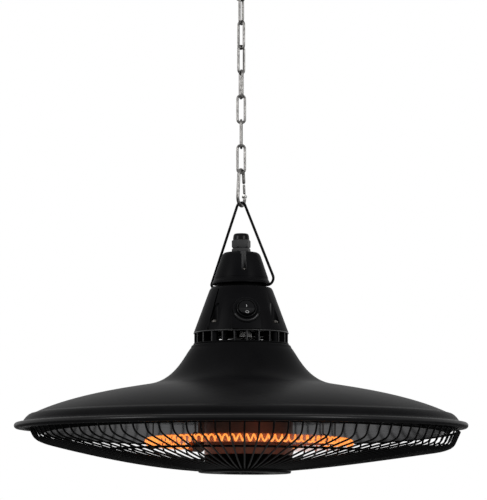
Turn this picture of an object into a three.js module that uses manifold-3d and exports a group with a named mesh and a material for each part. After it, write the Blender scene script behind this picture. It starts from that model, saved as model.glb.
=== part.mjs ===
// Hanging patio heater: a spun steel shade with a ring element, hung on a link chain.
// Millimetres, +Z up. The origin is the centre of the ceiling plate's top face, and the switch faces -Y.
import * as THREE from "three";
import { mergeVertices } from "three/addons/utils/BufferGeometryUtils.js";
import Module from "manifold-3d";

const wasm = await Module();
wasm.setup();

// General clearances and counts
const restGap = 0.3;
const boreGap = 0.35;
const cutOverrun = 1;
const wireSides = 6;
const roundSides = 16;
const rimSides = 40;
const hubSides = 32;
const screwSides = 8;
const boreSides = 10;
const pinSides = 12;
const hookSides = 8;
const hookBowSteps = 8;
const quarterTurn = 90;
const halfTurn = 180;
const fullTurn = 360;
const bodySides = 24;

// Ceiling plate, hook and screws
const plateRadius = 30;
const plateThickness = 3.5;
const plateEdgeRound = 1.5;
const plateScrewSpacing = 40;
const ceilingHookWire = 4;
const ceilingHookRadius = 7;
const ceilingHookNeck = 6.5;
const ceilingHookSweep = 305;
const ceilingHookTurn = -33;
const ceilingHookSteps = 12;
const plateScrewRadius = 2;
const plateScrewHeadRadius = 4;
const plateScrewHeadHeight = 2.2;

// Chain: each link's plane is turned about the vertical by its own angle
const linkLength = 37;
const linkWidth = 12;
const linkWire = 3.1;
const linkBowSteps = 6;
const linkTurns = [57, -50, 34, -77, -7, 78, -7];

// Snap hook
const hookLength = 48;
const hookWide = 24;
const hookNarrow = 17.7;
const hookWire = 4;
const hookTurn = 59;
const gateLowHeight = 14.3;
const gateHighHeight = 29.5;
const gateWidth = 3.2;
const gateThickness = 3.2;
const gateTipRecess = 1.4;
const gateRivetRadius = 0.9;
const gateRivetHeadRadius = 1.7;
const gateRivetHeadHeight = 0.5;

// Wire bail
const bailWire = 3.2;
const bailTurn = -32;
const bailHeadroom = 60.8;
const bailHalfWidth = 40.4;
const bailFootBend = 8;
const bailTopBend = 5.6;
const bailFootInner = 22;
const bendSteps = 5;

// Lamp heights are measured from the plane of the rim's tip, and each stands on the one before it
const shadeTopHeight = 97;
const ventHeight = 14.4;
const ventFootHeight = shadeTopHeight + restGap;
const coneHeight = 53;
const coneFootHeight = ventFootHeight + ventHeight + restGap;
const coneTopHeight = coneFootHeight + coneHeight;
const bailFootRise = 2.6;
const footHeight = coneTopHeight + bailFootRise;

// Neck ring
const neckRadius = 28.9;
const neckBore = 20;
const neckDepth = 5;
const neckRise = 7.7;
const neckFoot = coneTopHeight - neckDepth;
const neckTop = coneTopHeight + neckRise;

// Cap
const capLipGap = 5.1;
const capHeight = 37.7;
const capLipHeight = coneTopHeight + capLipGap;
const capTopHeight = capLipHeight + capHeight;
const capLipRadius = 34.4;
const capShoulderDrop = 5.4;
const capShoulderHeight = capTopHeight - capShoulderDrop;
const capShoulderRadius = 22.8;
const capTopFlatRadius = 17.3;
const capShoulderShares = [0.15, 0.5, 0.5, 1];
const capCavityRadius = 20;
const capCavityTopRadius = 13;
const capRoof = 4;
const capScrewCount = 2;
const capScrewCircle = 25.2;
const capPocketRadius = 3.1;
const capPocketDepth = 23.3;
const capPocketFloor = capTopHeight - capPocketDepth;
const capScrewRadius = 1.7;
const capScrewHeadRadius = 2.7;
const capScrewHeadHeight = 2;
const capScrewOverrun = 2;
const capScrewEnd = neckFoot - capScrewOverrun;
const bailHeight = capTopHeight - footHeight + bailHeadroom;

// Cable gland
const glandFlats = 20;
const glandTurn = 3;
const glandBaseHeight = 5;
const glandNutHeight = 9.8;
const glandDomeHeight = 7.6;
const glandDomeRadius = 9.8;
const glandMouthRadius = 7.2;
const glandBore = 4.1;
const glandThreadRadius = 7.9;
const glandThreadLength = 9;
const glandSleeveRadius = 8.2;
const glandSleeveHeight = 6;
const glandSealRadius = 6.6;
const glandSealHeight = 9;
const glandDomeShares = [0, 0.6, 0.35, 1];
const lockNutHeight = 3.6;

// Cone housing
const coneFootRadius = 56.5;
const coneTopRadius = 38.2;
const coneShoulder = 3.6;
const coneShoulderShares = [0.25, 0.5, 0.5, 1];
const coneWall = 3;
const coneLedge = 3.2;
const coneLedgeRadius = 22;
const conePocketCount = 4;
const conePocketCircle = 50.5;
const conePocketRadius = 6;
const conePocketRise = 8.8;
const conePocketHeight = 25.2;
const conePocketFloor = coneFootHeight + conePocketRise;
const conePocketTop = conePocketFloor + conePocketHeight;
const conePocketWall = 2;
const coneScrewRadius = 2;
const coneScrewHeadRadius = 3.7;
const coneScrewHeadHeight = 2.6;
const coneScrewOverrun = 0.6;

// Switch and its boss
const switchRise = 22.7;
const switchHeight = coneFootHeight + switchRise;
const switchPadWidth = 34;
const switchPadRise = 0.9;
const switchBossRadius = 16;
const switchBossRise = 3.4;
const switchHoleRadius = 10.4;
const bezelRadius = 11.7;
const bezelBore = 10.4;
const bezelRise = 2.2;
const switchBodyRadius = 10;
const switchBodyDepth = 15;
const rockerRadius = 9.5;
const rockerDepth = 3;
const rockerAngle = 12;
const rockerProud = 1.2;

// Vent ring
const ventRadius = 56.9;
const ventInner = 44;
const ventFlange = 1.4;
const ventRibCount = 24;
const ventRibThickness = 1.6;
const ventPostRadius = 4.5;

// Shade
const shadeHoleRadius = 30;
const shadeTopRadius = 56.6;
const shadeShoulderDrop = 3.4;
const shadeShoulderShares = [0.5, 0, 1, 0.5];
const shadeNeckRadius = 59.8;
const shadeKinkRadius = 107.2;
const shadeKinkHeight = 50.3;
const shadeCreaseRadius = 261.6;
const shadeCreaseHeight = 5.7;
const shadeHemWidth = 8.4;
const shadeRimDrop = 3.2;
const shadeWall = 1.6;
const hemBeadShare = 0.8;
const hemBeadStart = 75;
const hemBeadSteps = 3;
const flareHandleShares = [0.17, 0.22, 0.38, 0.85];
const domeHandleShares = [0.07, 0.07, 0.7, 0.3];
const flareSteps = 3;
const domeSteps = 5;

// How the pan hangs: moved off the shade's axis and leaning by these degrees, as photographed
const panShiftRight = 4.6;
const panShiftFront = 0.6;
const panFrontUp = 1.2;
const panRightDown = 0.6;
const panRoom = 4.9;

// Reflector pan and its black skirt
const panEdgeHeight = -8.4;
const panRoofHeight = 19;
const panRoofInset = 48.2;
const panHole = 53.2;
const panWall = 1;
const panLip = 2.6;
const panWallShares = [0.12, 0.55, 0.45, 1];
const panSteps = 3;
const skirtWidth = 14.1;
const skirtTopHeight = 0.4;
const skirtWall = 1.2;

// Centre rod, nuts, strap, clamp plate and spacer
const rodRadius = 4;
const rodEndRise = 11.8;
const nutFlats = 13;
const nutHeight = 6.2;
const strapRise = 9.2;
const strapHeight = shadeTopHeight + strapRise;
const strapThickness = 1.8;
const strapWidth = 16;
const strapHalfSpan = 41;
const strapFoot = 8;
const clampRadius = 56;
const clampThickness = 2;
const clampTop = shadeTopHeight - shadeWall - restGap;
const clampFoot = clampTop - clampThickness;
const spacerRadius = 9;

// Hub can and hub base
const hubRadius = 52.4;
const hubTopHeight = 28;
const hubFootHeight = -34;
const hubWall = 1.2;
const hubBaseRadius = 50.5;
const hubBaseWall = 2;

// Ring element
const elementCircle = 119.4;
const elementShift = 5;
const elementHeight = -19;
const tubeRadius = 5.3;
const tubeWall = 0.7;
const tubeSides = 6;
const tubeSteps = 32;
const tubeStart = -153;
const tubeEnd = 150;
const coilRadius = 3;
const coilWireRadius = 0.45;
const coilCurls = 54;
const coilCurlSteps = 6;
const coilWireSides = 3;
const coilStart = -149;
const coilEnd = 100;
const coilLeadDepth = 4;
const endCapLength = 17;
const endCapRadius = 6.6;
const endCapDepth = 6;
const holderWidth = 12;
const holderThickness = 1.2;
const bracketTurns = [-112, -38, 38, 112];
const bracketSides = 10;
const bracketWidth = 9;
const bracketThickness = 1.2;

// Wire guard
const guardWireCount = 100;
const guardWire = 2.2;
const hoopSectionSides = 4;
const guardTopHeight = -5.4;
const guardWallFoot = -15;
const guardWallLean = 4.7;
const guardConeInset = 12.2;
const guardConeHeight = -26.3;
const guardPlateRadius = 55;
const guardPlateTop = -51;
const guardPlateThickness = 5.4;
const guardPlateRound = 1.8;
const guardPlateOverlap = 5;
const guardPlateDish = 4.3;
const guardRimWire = 2.8;
const guardMidWire = 2.6;
const guardMidInset = 58;
const clipCount = 4;
const clipWidth = 6;
const clipThickness = 0.8;
const clipReach = 2.6;
const guardNutHeight = 3.6;

const degrees = Math.PI / halfTurn;
const half = 1 / 2;
const hexCorner = 1 / Math.cos(Math.PI / 6);

// Finishes
function paint(colour, roughness, metalness) {
  return () => new THREE.MeshStandardMaterial({ color: colour, roughness, metalness });
}
const blackPaint = paint(0x18181a, 0.62, 0.2);
const blackPlastic = paint(0x141416, 0.55, 0);
const glossPlastic = paint(0x0d0d0f, 0.3, 0);
const blackWire = paint(0x101012, 0.5, 0.3);
const zincSteel = paint(0xb4b2ae, 0.3, 0.9);
const brightSteel = paint(0xc8c8c6, 0.25, 0.95);
const satinAluminium = paint(0x8e8e90, 0.35, 0.9);
const hubSteel = paint(0x5a4036, 0.45, 0.6);
const ceramic = paint(0x4a3a34, 0.8, 0);
const hotQuartz = paint(0xff8a3c, 0.15, 0);
const hotWire = paint(0xff9a40, 0.5, 0.2);
const rubber = paint(0x0c0c0c, 0.9, 0);

// Solids: a closed three.js geometry becomes a solid that can be joined and cut
function solid(geometry) {
  const bare = geometry.clone();
  bare.deleteAttribute("normal");
  bare.deleteAttribute("uv");
  const merged = mergeVertices(bare);
  const corners = merged.index.array;
  const kept = [];
  for (let i = 0; i < corners.length; i += 3) {
    const [a, b, c] = [corners[i], corners[i + 1], corners[i + 2]];
    if (a !== b && b !== c && c !== a) kept.push(a, b, c);
  }
  return new wasm.Manifold(
    new wasm.Mesh({
      numProp: 3,
      vertProperties: merged.attributes.position.array,
      triVerts: new Uint32Array(kept),
    }),
  );
}

function geometryOf(body) {
  const mesh = body.getMesh();
  const geometry = new THREE.BufferGeometry();
  geometry.setAttribute("position", new THREE.BufferAttribute(mesh.vertProperties, 3));
  geometry.setIndex(new THREE.BufferAttribute(mesh.triVerts, 1));
  geometry.computeVertexNormals();
  return geometry;
}

// A profile of [radius, height] points, anticlockwise, turned about the Z axis
function turned(profile, sides = roundSides) {
  const points = profile.map(([radius, height]) => new THREE.Vector2(radius, height));
  const onAxis = profile[0][0] === 0 && profile[profile.length - 1][0] === 0;
  if (!onAxis) points.push(points[0].clone());
  return solid(new THREE.LatheGeometry(points, sides).rotateX(Math.PI * half));
}

function cylinder(radius, low, high, sides = roundSides) {
  return turned([[0, low], [radius, low], [radius, high], [0, high]], sides);
}

function pipe(outer, inner, low, high, sides = roundSides) {
  return turned([[inner, low], [outer, low], [outer, high], [inner, high]], sides);
}

function hexagon(flats, low, high) {
  const corner = flats * half * hexCorner;
  const prism = new THREE.CylinderGeometry(corner, corner, high - low, 6);
  prism.rotateX(Math.PI * half).rotateZ(Math.PI / 6);
  return solid(prism.translate(0, 0, (high + low) * half));
}

function box(from, to) {
  const [x, y, z] = to.map((value, axis) => value - from[axis]);
  const middle = to.map((value, axis) => (value + from[axis]) * half);
  return solid(new THREE.BoxGeometry(x, y, z).translate(...middle));
}

// An outline of [x, z] points, pushed through the XZ plane by its thickness about y = 0
function plateOf(outline, thickness) {
  const shape = new THREE.Shape(outline.map(([x, z]) => new THREE.Vector2(x, z)));
  const body = new THREE.ExtrudeGeometry(shape, { depth: thickness, bevelEnabled: false });
  return solid(body.translate(0, 0, -thickness * half).rotateX(Math.PI * half));
}

function around(body, angle) {
  return body.rotate([0, 0, angle]);
}

function ringOf(count, make, start = 0) {
  return Array.from({ length: count }, (_, i) => make(start + (fullTurn * i) / count, i));
}

function joined(bodies) {
  return bodies.reduce((sum, body) => sum.add(body));
}

function without(body, cuts) {
  return cuts.reduce((rest, cut) => rest.subtract(cut), body);
}

// A bent wire's route: straight runs between points, mitred at each point
class Route extends THREE.Curve {
  constructor(points) {
    super();
    this.points = points;
  }
  getPoint(share, target = new THREE.Vector3()) {
    const last = this.points.length - 1;
    const place = THREE.MathUtils.clamp(share, 0, 1) * last;
    const index = Math.min(Math.floor(place), last - 1);
    return target.copy(this.points[index]).lerp(this.points[index + 1], place - index);
  }
  getUtoTmapping(share) {
    return share;
  }
  getTangent(share, target = new THREE.Vector3()) {
    const last = this.points.length - 1;
    const index = Math.round(share * last);
    const here = this.points[index];
    const before = this.points[Math.max(index - 1, 0)];
    const after = this.points[Math.min(index + 1, last)];
    const arriving = here.clone().sub(before).normalize();
    return target.copy(after).sub(here).normalize().add(arriving).normalize();
  }
}

function polygon(radius, sides) {
  const section = new THREE.Shape();
  for (let i = 0; i < sides; i += 1) {
    const angle = (2 * Math.PI * (i + half)) / sides;
    const at = [Math.cos(angle) * radius, Math.sin(angle) * radius];
    if (i === 0) section.moveTo(...at);
    else section.lineTo(...at);
  }
  section.closePath();
  return section;
}

// A wire along [x, z] points in the XZ plane
function wire(points, diameter, sides = wireSides) {
  const route = new Route(points.map(([x, z]) => new THREE.Vector3(x, 0, z)));
  const settings = { steps: points.length - 1, extrudePath: route, bevelEnabled: false };
  return solid(new THREE.ExtrudeGeometry(polygon(diameter * half, sides), settings));
}

// Points on an arc in a plane, from one angle to another
function arc(centre, radius, from, to, steps) {
  return Array.from({ length: steps + 1 }, (_, i) => {
    const angle = (from + ((to - from) * i) / steps) * degrees;
    return [centre[0] + radius * Math.cos(angle), centre[1] + radius * Math.sin(angle)];
  });
}

// A curve from one point to another, its two handles at shares of the width and height between them
function eased(from, to, shares, steps) {
  const at = (across, up) =>
    new THREE.Vector2(from[0] + (to[0] - from[0]) * across, from[1] + (to[1] - from[1]) * up);
  const curve = new THREE.CubicBezierCurve(
    at(0, 0),
    at(shares[0], shares[1]),
    at(shares[2], shares[3]),
    at(1, 1),
  );
  return curve.getPoints(steps).map((point) => [point.x, point.y]);
}

// The same line moved sideways to its left by a distance
function beside(points, distance) {
  return points.map((point, i) => {
    const before = points[Math.max(i - 1, 0)];
    const after = points[Math.min(i + 1, points.length - 1)];
    const run = [after[0] - before[0], after[1] - before[1]];
    const length = Math.hypot(...run);
    return [point[0] - (run[1] * distance) / length, point[1] + (run[0] * distance) / length];
  });
}

const heater = new THREE.Group();

function place(group, name, body, finish) {
  const mesh = new THREE.Mesh(geometryOf(body), finish());
  mesh.name = name;
  group.add(mesh);
  return mesh;
}

// Ceiling plate with its hook
const plateFoot = -plateThickness;
const hookCentre = plateFoot - ceilingHookNeck - ceilingHookRadius;
const hookBottom = hookCentre - ceilingHookRadius;

function ceilingPlate() {
  const disc = turned([
    [0, plateFoot],
    [plateRadius - plateEdgeRound, plateFoot],
    [plateRadius, plateFoot + plateEdgeRound],
    [plateRadius, 0],
    [0, 0],
  ], bodySides);
  const holes = [-1, 1].map((side) =>
    cylinder(plateScrewRadius + boreGap, plateFoot - cutOverrun, cutOverrun, pinSides)
      .translate([side * plateScrewSpacing * half, 0, 0]),
  );
  const stem = cylinder(ceilingHookWire * half + restGap, plateFoot - cutOverrun, cutOverrun, pinSides);
  return without(disc, [...holes, stem]);
}

function ceilingHook() {
  const turnEnd = quarterTurn + ceilingHookSweep;
  const bowl = arc([0, hookCentre], ceilingHookRadius, quarterTurn, turnEnd, ceilingHookSteps);
  return wire([[0, -restGap], ...bowl], ceilingHookWire, hookSides);
}

function ceilingScrew() {
  const headTop = plateFoot - restGap;
  const head = turned([
    [0, headTop - plateScrewHeadHeight],
    [plateScrewHeadRadius * half, headTop - plateScrewHeadHeight],
    [plateScrewHeadRadius, headTop],
    [0, headTop],
  ], pinSides);
  return head.add(cylinder(plateScrewRadius, headTop - restGap, -restGap, boreSides));
}

place(heater, "ceiling_plate", ceilingPlate(), blackPaint);
place(heater, "ceiling_hook", around(ceilingHook(), ceilingHookTurn), zincSteel);
[-1, 1].forEach((side, i) => {
  const screw = place(heater, `ceiling_screw_${i + 1}`, ceilingScrew(), zincSteel);
  screw.position.x = side * plateScrewSpacing * half;
});

// Chain links, each hung in the bow of the one above
const linkPitch = linkLength - 2 * linkWire - restGap;
const firstLinkTop = hookBottom + ceilingHookWire * half + restGap + linkWire;

function linkBody() {
  const bow = (linkWidth - linkWire) * half;
  const straight = linkLength * half - linkWidth * half;
  const points = arc([0, straight], bow, halfTurn, 0, linkBowSteps);
  const upper = wire([[-bow, 0], ...points, [bow, 0]], linkWire);
  return upper.add(upper.rotate([0, halfTurn, 0]));
}

const link = linkBody();
linkTurns.forEach((turn, i) => {
  const mesh = place(heater, `chain_link_${i + 1}`, around(link, turn), zincSteel);
  mesh.position.z = firstLinkTop - linkLength * half - i * linkPitch;
});

// Snap hook: a bent wire body with a sprung gate on a rivet
const chainFoot = firstLinkTop - linkLength - (linkTurns.length - 1) * linkPitch;
const snapTop = chainFoot + linkWire + restGap + hookWire;
const snap = new THREE.Group();
snap.position.z = snapTop - hookLength;
snap.rotation.z = hookTurn * degrees;
heater.add(snap);

const hookBowLow = (hookWide - hookWire) * half;
const hookBowHigh = (hookNarrow - hookWire) * half;
const hookLowCentre = hookWire * half + hookBowLow;
const hookHighCentre = hookLength - hookWire * half - hookBowHigh;
const gateLine = (height) =>
  THREE.MathUtils.mapLinear(height, hookLowCentre, hookHighCentre, hookBowLow, hookBowHigh);
const rivetX = gateLine(gateLowHeight);

function snapBody() {
  const high = arc([0, hookHighCentre], hookBowHigh, 0, halfTurn, 6);
  const low = arc([0, hookLowCentre], hookBowLow, halfTurn, fullTurn, hookBowSteps);
  const nose = [gateLine(gateHighHeight), gateHighHeight];
  const heel = [rivetX, gateLowHeight + gateWidth * half];
  const body = wire([nose, ...high, ...low, heel], hookWire, hookSides);
  const slotLow = gateLowHeight - gateWidth * half - restGap;
  const slotHalf = gateThickness * half * half + restGap;
  const slot = box(
    [rivetX - hookWire, -slotHalf, slotLow],
    [rivetX + hookWire, slotHalf, gateLowHeight + hookWire],
  );
  const rivet = cylinder(gateRivetRadius + restGap, -hookWire, hookWire, boreSides)
    .rotate([quarterTurn, 0, 0])
    .translate([rivetX, 0, gateLowHeight]);
  return without(body, [slot, rivet]);
}

function snapGate() {
  const foot = gateLowHeight;
  const top = gateHighHeight - restGap;
  const reach = gateLine(top) - rivetX;
  const bar = box(
    [-gateWidth * half, -gateThickness * half, foot + hookWire * half + 2 * restGap],
    [gateWidth * half, gateThickness * half, top],
  );
  const tang = cylinder(gateWidth * half, -gateThickness * half * half, gateThickness * half * half, pinSides)
    .rotate([quarterTurn, 0, 0])
    .translate([0, 0, foot]);
  const web = box(
    [-gateWidth * half, -gateThickness * half * half, foot],
    [gateWidth * half, gateThickness * half * half, foot + hookWire],
  );
  const hole = cylinder(gateRivetRadius + restGap, -hookWire, hookWire, boreSides)
    .rotate([quarterTurn, 0, 0])
    .translate([0, 0, foot]);
  const lean = -Math.atan2(reach, top - foot) / degrees;
  return without(joined([bar, tang, web]), [hole])
    .translate([0, 0, -foot])
    .rotate([0, -lean, 0])
    .translate([rivetX, 0, foot]);
}

function snapRivet() {
  const reach = hookWire * half + restGap;
  const end = reach + gateRivetHeadHeight;
  return turned([
    [0, -end],
    [gateRivetHeadRadius, -end],
    [gateRivetHeadRadius, -reach],
    [gateRivetRadius, -reach],
    [gateRivetRadius, reach],
    [gateRivetHeadRadius, reach],
    [gateRivetHeadRadius, end],
    [0, end],
  ], pinSides).rotate([quarterTurn, 0, 0]).translate([rivetX, 0, gateLowHeight]);
}

place(snap, "snap_hook", snapBody(), zincSteel);
place(snap, "snap_gate", snapGate(), zincSteel);
place(snap, "gate_rivet", snapRivet(), brightSteel);

// Lamp group, hung by the bail from the snap hook
const bailTop = snapTop - hookLength + hookWire + restGap + bailWire;
const lamp = new THREE.Group();
lamp.position.z = bailTop - bailWire * half - bailHeight - footHeight;
heater.add(lamp);

function bail() {
  const knee = footHeight + bailFootBend;
  const apex = footHeight + bailHeight;
  const rise = apex - bailTopBend - knee;
  const run = bailHalfWidth - bailTopBend;
  const lean = Math.atan2(run, rise) / degrees;
  const top = arc([0, apex - bailTopBend], bailTopBend, halfTurn - lean, lean, 2 * bendSteps);
  const centre = bailHalfWidth - bailFootBend;
  const right = arc([centre, knee], bailFootBend, lean, -quarterTurn, bendSteps);
  const left = right.map(([x, z]) => [-x, z]).reverse();
  const route = [[-bailFootInner, footHeight], ...left, ...top, ...right, [bailFootInner, footHeight]];
  return wire(route, bailWire);
}
place(lamp, "bail", around(bail(), bailTurn), blackWire);

// Neck ring, which the bail's feet turn in
function capScrewHoles(radius, low, high) {
  return ringOf(capScrewCount, (angle) =>
    around(cylinder(radius, low, high, pinSides).translate([0, -capScrewCircle, 0]), angle),
  );
}

function neckRing() {
  const ring = pipe(neckRadius, neckBore, neckFoot, neckTop, bodySides);
  const bore = cylinder(bailWire * half + boreGap, -neckRadius - cutOverrun, neckRadius + cutOverrun, pinSides)
    .rotate([0, quarterTurn, bailTurn])
    .translate([0, 0, footHeight]);
  const holes = capScrewHoles(capScrewRadius + boreGap, neckFoot - cutOverrun, neckTop + cutOverrun);
  return without(ring, [bore, ...holes]);
}
place(lamp, "neck_ring", neckRing(), zincSteel);

// Cap, its screws and the cable gland
function cap() {
  const shell = turned([
    [capCavityRadius, capLipHeight],
    [capLipRadius, capLipHeight],
    [capShoulderRadius, capShoulderHeight],
    ...eased(
      [capShoulderRadius, capShoulderHeight],
      [capTopFlatRadius, capTopHeight],
      capShoulderShares,
      3,
    ).slice(1),
    [glandThreadRadius + restGap, capTopHeight],
    [glandThreadRadius + restGap, capTopHeight - capRoof],
    [capCavityTopRadius, capTopHeight - capRoof],
  ], bodySides);
  const seat = cylinder(neckRadius + restGap, capLipHeight - cutOverrun, neckTop + restGap, bodySides);
  const pockets = capScrewHoles(capPocketRadius, capPocketFloor, capTopHeight + cutOverrun);
  const holes = capScrewHoles(capScrewRadius + boreGap, capLipHeight, capPocketFloor + cutOverrun);
  return without(shell, [seat, ...pockets, ...holes]);
}
place(lamp, "cap", cap(), blackPlastic);

function panScrew(radius, headRadius, headHeight, floor, end) {
  const low = floor + restGap;
  const head = turned([
    [0, low],
    [headRadius, low],
    [headRadius, low + headHeight * half],
    [headRadius * half, low + headHeight],
    [0, low + headHeight],
  ], pinSides);
  const slot = box(
    [-headRadius, -radius * half * half, low + headHeight * half],
    [headRadius, radius * half * half, low + headHeight + cutOverrun],
  );
  return head.subtract(slot).add(cylinder(radius, end, low + restGap, screwSides));
}

ringOf(capScrewCount, (angle, i) => {
  const screw = panScrew(
    capScrewRadius,
    capScrewHeadRadius,
    capScrewHeadHeight,
    capPocketFloor,
    capScrewEnd,
  );
  place(lamp, `cap_screw_${i + 1}`, around(screw.translate([0, -capScrewCircle, 0]), angle), zincSteel);
});

const gland = new THREE.Group();
gland.position.z = capTopHeight + restGap;
gland.rotation.z = glandTurn * degrees;
lamp.add(gland);

function chamferedHexagon(flats, low, high) {
  const corner = flats * half * hexCorner;
  const flat = flats * half;
  const cut = corner - flat;
  const drum = turned([[0, low], [flat, low], [corner, low + cut], [corner, high - cut], [flat, high], [0, high]]);
  return hexagon(flats, low, high).intersect(drum);
}

function glandBody() {
  const thread = cylinder(glandThreadRadius, -glandThreadLength, restGap);
  const sleeve = cylinder(glandSleeveRadius, glandBaseHeight - restGap, glandBaseHeight + glandSleeveHeight);
  const base = chamferedHexagon(glandFlats, 0, glandBaseHeight);
  const top = glandBaseHeight + glandSleeveHeight;
  const bore = cylinder(glandBore, -glandThreadLength - cutOverrun, top + cutOverrun, roundSides);
  const whole = joined([thread, base, sleeve]);
  return without(whole, [bore]);
}

const glandNutFoot = glandBaseHeight + restGap;
const glandNutTop = glandNutFoot + glandNutHeight;
const glandTop = glandNutTop + glandDomeHeight;
const glandSealFoot = glandBaseHeight + glandSleeveHeight + restGap;
const glandSealTop = glandSealFoot + glandSealHeight;

function glandNut() {
  const hexPart = chamferedHexagon(glandFlats, glandNutFoot, glandNutTop);
  const dome = turned([
    [0, glandNutTop - restGap],
    [glandDomeRadius, glandNutTop - restGap],
    ...eased([glandDomeRadius, glandNutTop], [glandMouthRadius, glandTop], glandDomeShares, 3),
    [0, glandTop],
  ]);
  const sleeveRoom = cylinder(glandSleeveRadius + restGap, -cutOverrun, glandSealFoot, roundSides);
  const sealRoom = cylinder(glandSealRadius + restGap, glandSealFoot - restGap, glandSealTop + restGap);
  const bore = cylinder(glandBore, glandSealTop, glandTop + cutOverrun, roundSides);
  return without(hexPart.add(dome), [sleeveRoom, sealRoom, bore]);
}

place(gland, "gland_body", glandBody(), blackPlastic);
place(gland, "gland_nut", glandNut(), blackPlastic);
place(gland, "gland_seal", pipe(glandSealRadius, glandBore, glandSealFoot, glandSealTop, roundSides), rubber);

function lockNut() {
  const high = -capRoof - 2 * restGap;
  const nut = hexagon(glandFlats, high - lockNutHeight, high);
  return nut.subtract(cylinder(glandThreadRadius + restGap, high - lockNutHeight - cutOverrun, cutOverrun));
}
place(gland, "gland_lock_nut", lockNut(), blackPlastic);

// Cone housing with screw pockets and the switch boss
const coneSlope = (coneFootRadius - coneTopRadius) / (coneTopHeight - coneShoulder - coneFootHeight);
const coneTilt = Math.atan(coneSlope) / degrees;
const coneRadiusAt = (height) => coneFootRadius - (height - coneFootHeight) * coneSlope;

function coneOutline() {
  const shoulder = eased(
    [coneTopRadius, coneTopHeight - coneShoulder],
    [coneTopRadius - coneShoulder, coneTopHeight],
    coneShoulderShares,
    2,
  );
  return [[coneFootRadius, coneFootHeight], ...shoulder];
}

function coneShell() {
  const ledgeTop = neckFoot - restGap;
  const ledgeFoot = ledgeTop - coneLedge;
  return turned([
    ...coneOutline(),
    [neckRadius + restGap, coneTopHeight],
    [neckRadius + restGap, ledgeTop],
    [coneLedgeRadius, ledgeTop],
    [coneLedgeRadius, ledgeFoot],
    [coneRadiusAt(ledgeFoot) - coneWall, ledgeFoot],
    [coneFootRadius - coneWall, coneFootHeight],
  ], bodySides);
}

function coneSolid() {
  return turned([[0, coneFootHeight], ...coneOutline(), [0, coneTopHeight]], bodySides);
}

function atPocket(body, angle) {
  return around(body.translate([0, -conePocketCircle, 0]), angle);
}

const pocketStart = halfTurn / conePocketCount;

function coneBosses() {
  const radius = conePocketRadius + conePocketWall;
  const post = cylinder(radius, coneFootHeight, conePocketTop + conePocketWall, pinSides);
  return joined(ringOf(conePocketCount, (angle) => atPocket(post, angle), pocketStart));
}

function conePockets() {
  const pocket = cylinder(conePocketRadius, conePocketFloor, conePocketTop, pinSides);
  const through = [coneFootHeight - cutOverrun, conePocketFloor + cutOverrun];
  const hole = cylinder(coneScrewRadius + boreGap, ...through, boreSides);
  return joined(ringOf(conePocketCount, (angle) => atPocket(pocket.add(hole), angle), pocketStart));
}

// Turns a body built along +Z from the cone's skin so that it stands square to the cone at the switch
function atSwitch(body) {
  return body
    .rotate([quarterTurn - coneTilt, 0, 0])
    .translate([0, -coneRadiusAt(switchHeight), switchHeight]);
}

function switchPad() {
  const padHalf = switchPadWidth * half;
  const reach = coneFootRadius;
  const drop = (switchHeight - coneFootHeight) / Math.cos(coneTilt * degrees);
  const shape = new THREE.Shape();
  shape.moveTo(-padHalf, -drop);
  shape.lineTo(padHalf, -drop);
  shape.lineTo(padHalf, 0);
  shape.absarc(0, 0, padHalf, 0, Math.PI, false);
  const settings = { depth: reach * half + switchPadRise, bevelEnabled: false, curveSegments: 10 };
  const pad = new THREE.ExtrudeGeometry(shape, settings).translate(0, 0, -reach * half);
  const above = box(
    [-reach, -2 * reach, coneFootHeight],
    [reach, 0, coneTopHeight],
  );
  return atSwitch(solid(pad)).intersect(above);
}

function switchBoss() {
  return atSwitch(turned([
    [0, -bezelRadius],
    [switchBossRadius, -bezelRadius],
    [switchBossRadius, switchBossRise - restGap],
    [switchBossRadius - restGap, switchBossRise],
    [0, switchBossRise],
  ]));
}

function coneHousing() {
  const outside = coneSolid();
  const raised = joined([switchPad(), switchBoss()]);
  const inside = turned([
    [0, coneFootHeight - cutOverrun],
    [coneFootRadius - coneWall, coneFootHeight - cutOverrun],
    [coneFootRadius - coneWall, coneFootHeight],
    [coneRadiusAt(neckFoot - restGap - coneLedge) - coneWall, neckFoot - restGap - coneLedge],
    [0, neckFoot - restGap - coneLedge],
  ], bodySides);
  const shell = joined([coneShell(), raised.subtract(inside), coneBosses().intersect(outside)]);
  const hole = atSwitch(cylinder(switchHoleRadius, -coneFootRadius * half, coneFootRadius));
  const threads = capScrewHoles(
    capScrewRadius + restGap,
    neckFoot - restGap - coneLedge - cutOverrun,
    neckFoot + cutOverrun,
  );
  return without(shell, [conePockets(), hole, ...threads]);
}
place(lamp, "cone_housing", coneHousing(), blackPlastic);

ringOf(conePocketCount, (angle, i) => {
  const screw = panScrew(
    coneScrewRadius,
    coneScrewHeadRadius,
    coneScrewHeadHeight,
    conePocketFloor,
    clampFoot - coneScrewOverrun,
  );
  place(lamp, `housing_screw_${i + 1}`, atPocket(screw, angle), zincSteel);
}, pocketStart);

// Round rocker switch
const bezelFoot = switchBossRise + restGap;
const bezelTop = bezelFoot + bezelRise;
const rockerPivot = bezelTop - rockerDepth * half;

function switchBody() {
  const swing = rockerRadius * Math.sin(rockerAngle * degrees);
  const high = rockerPivot - rockerDepth * half - swing - restGap;
  return cylinder(switchBodyRadius, switchBossRise - switchBodyDepth, high);
}

function switchBezel() {
  return turned([
    [bezelBore, bezelFoot],
    [bezelRadius, bezelFoot],
    [bezelRadius, bezelTop - bezelRise * half],
    [bezelRadius - bezelRise * half * half, bezelTop],
    [bezelBore, bezelTop],
  ]);
}

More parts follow.
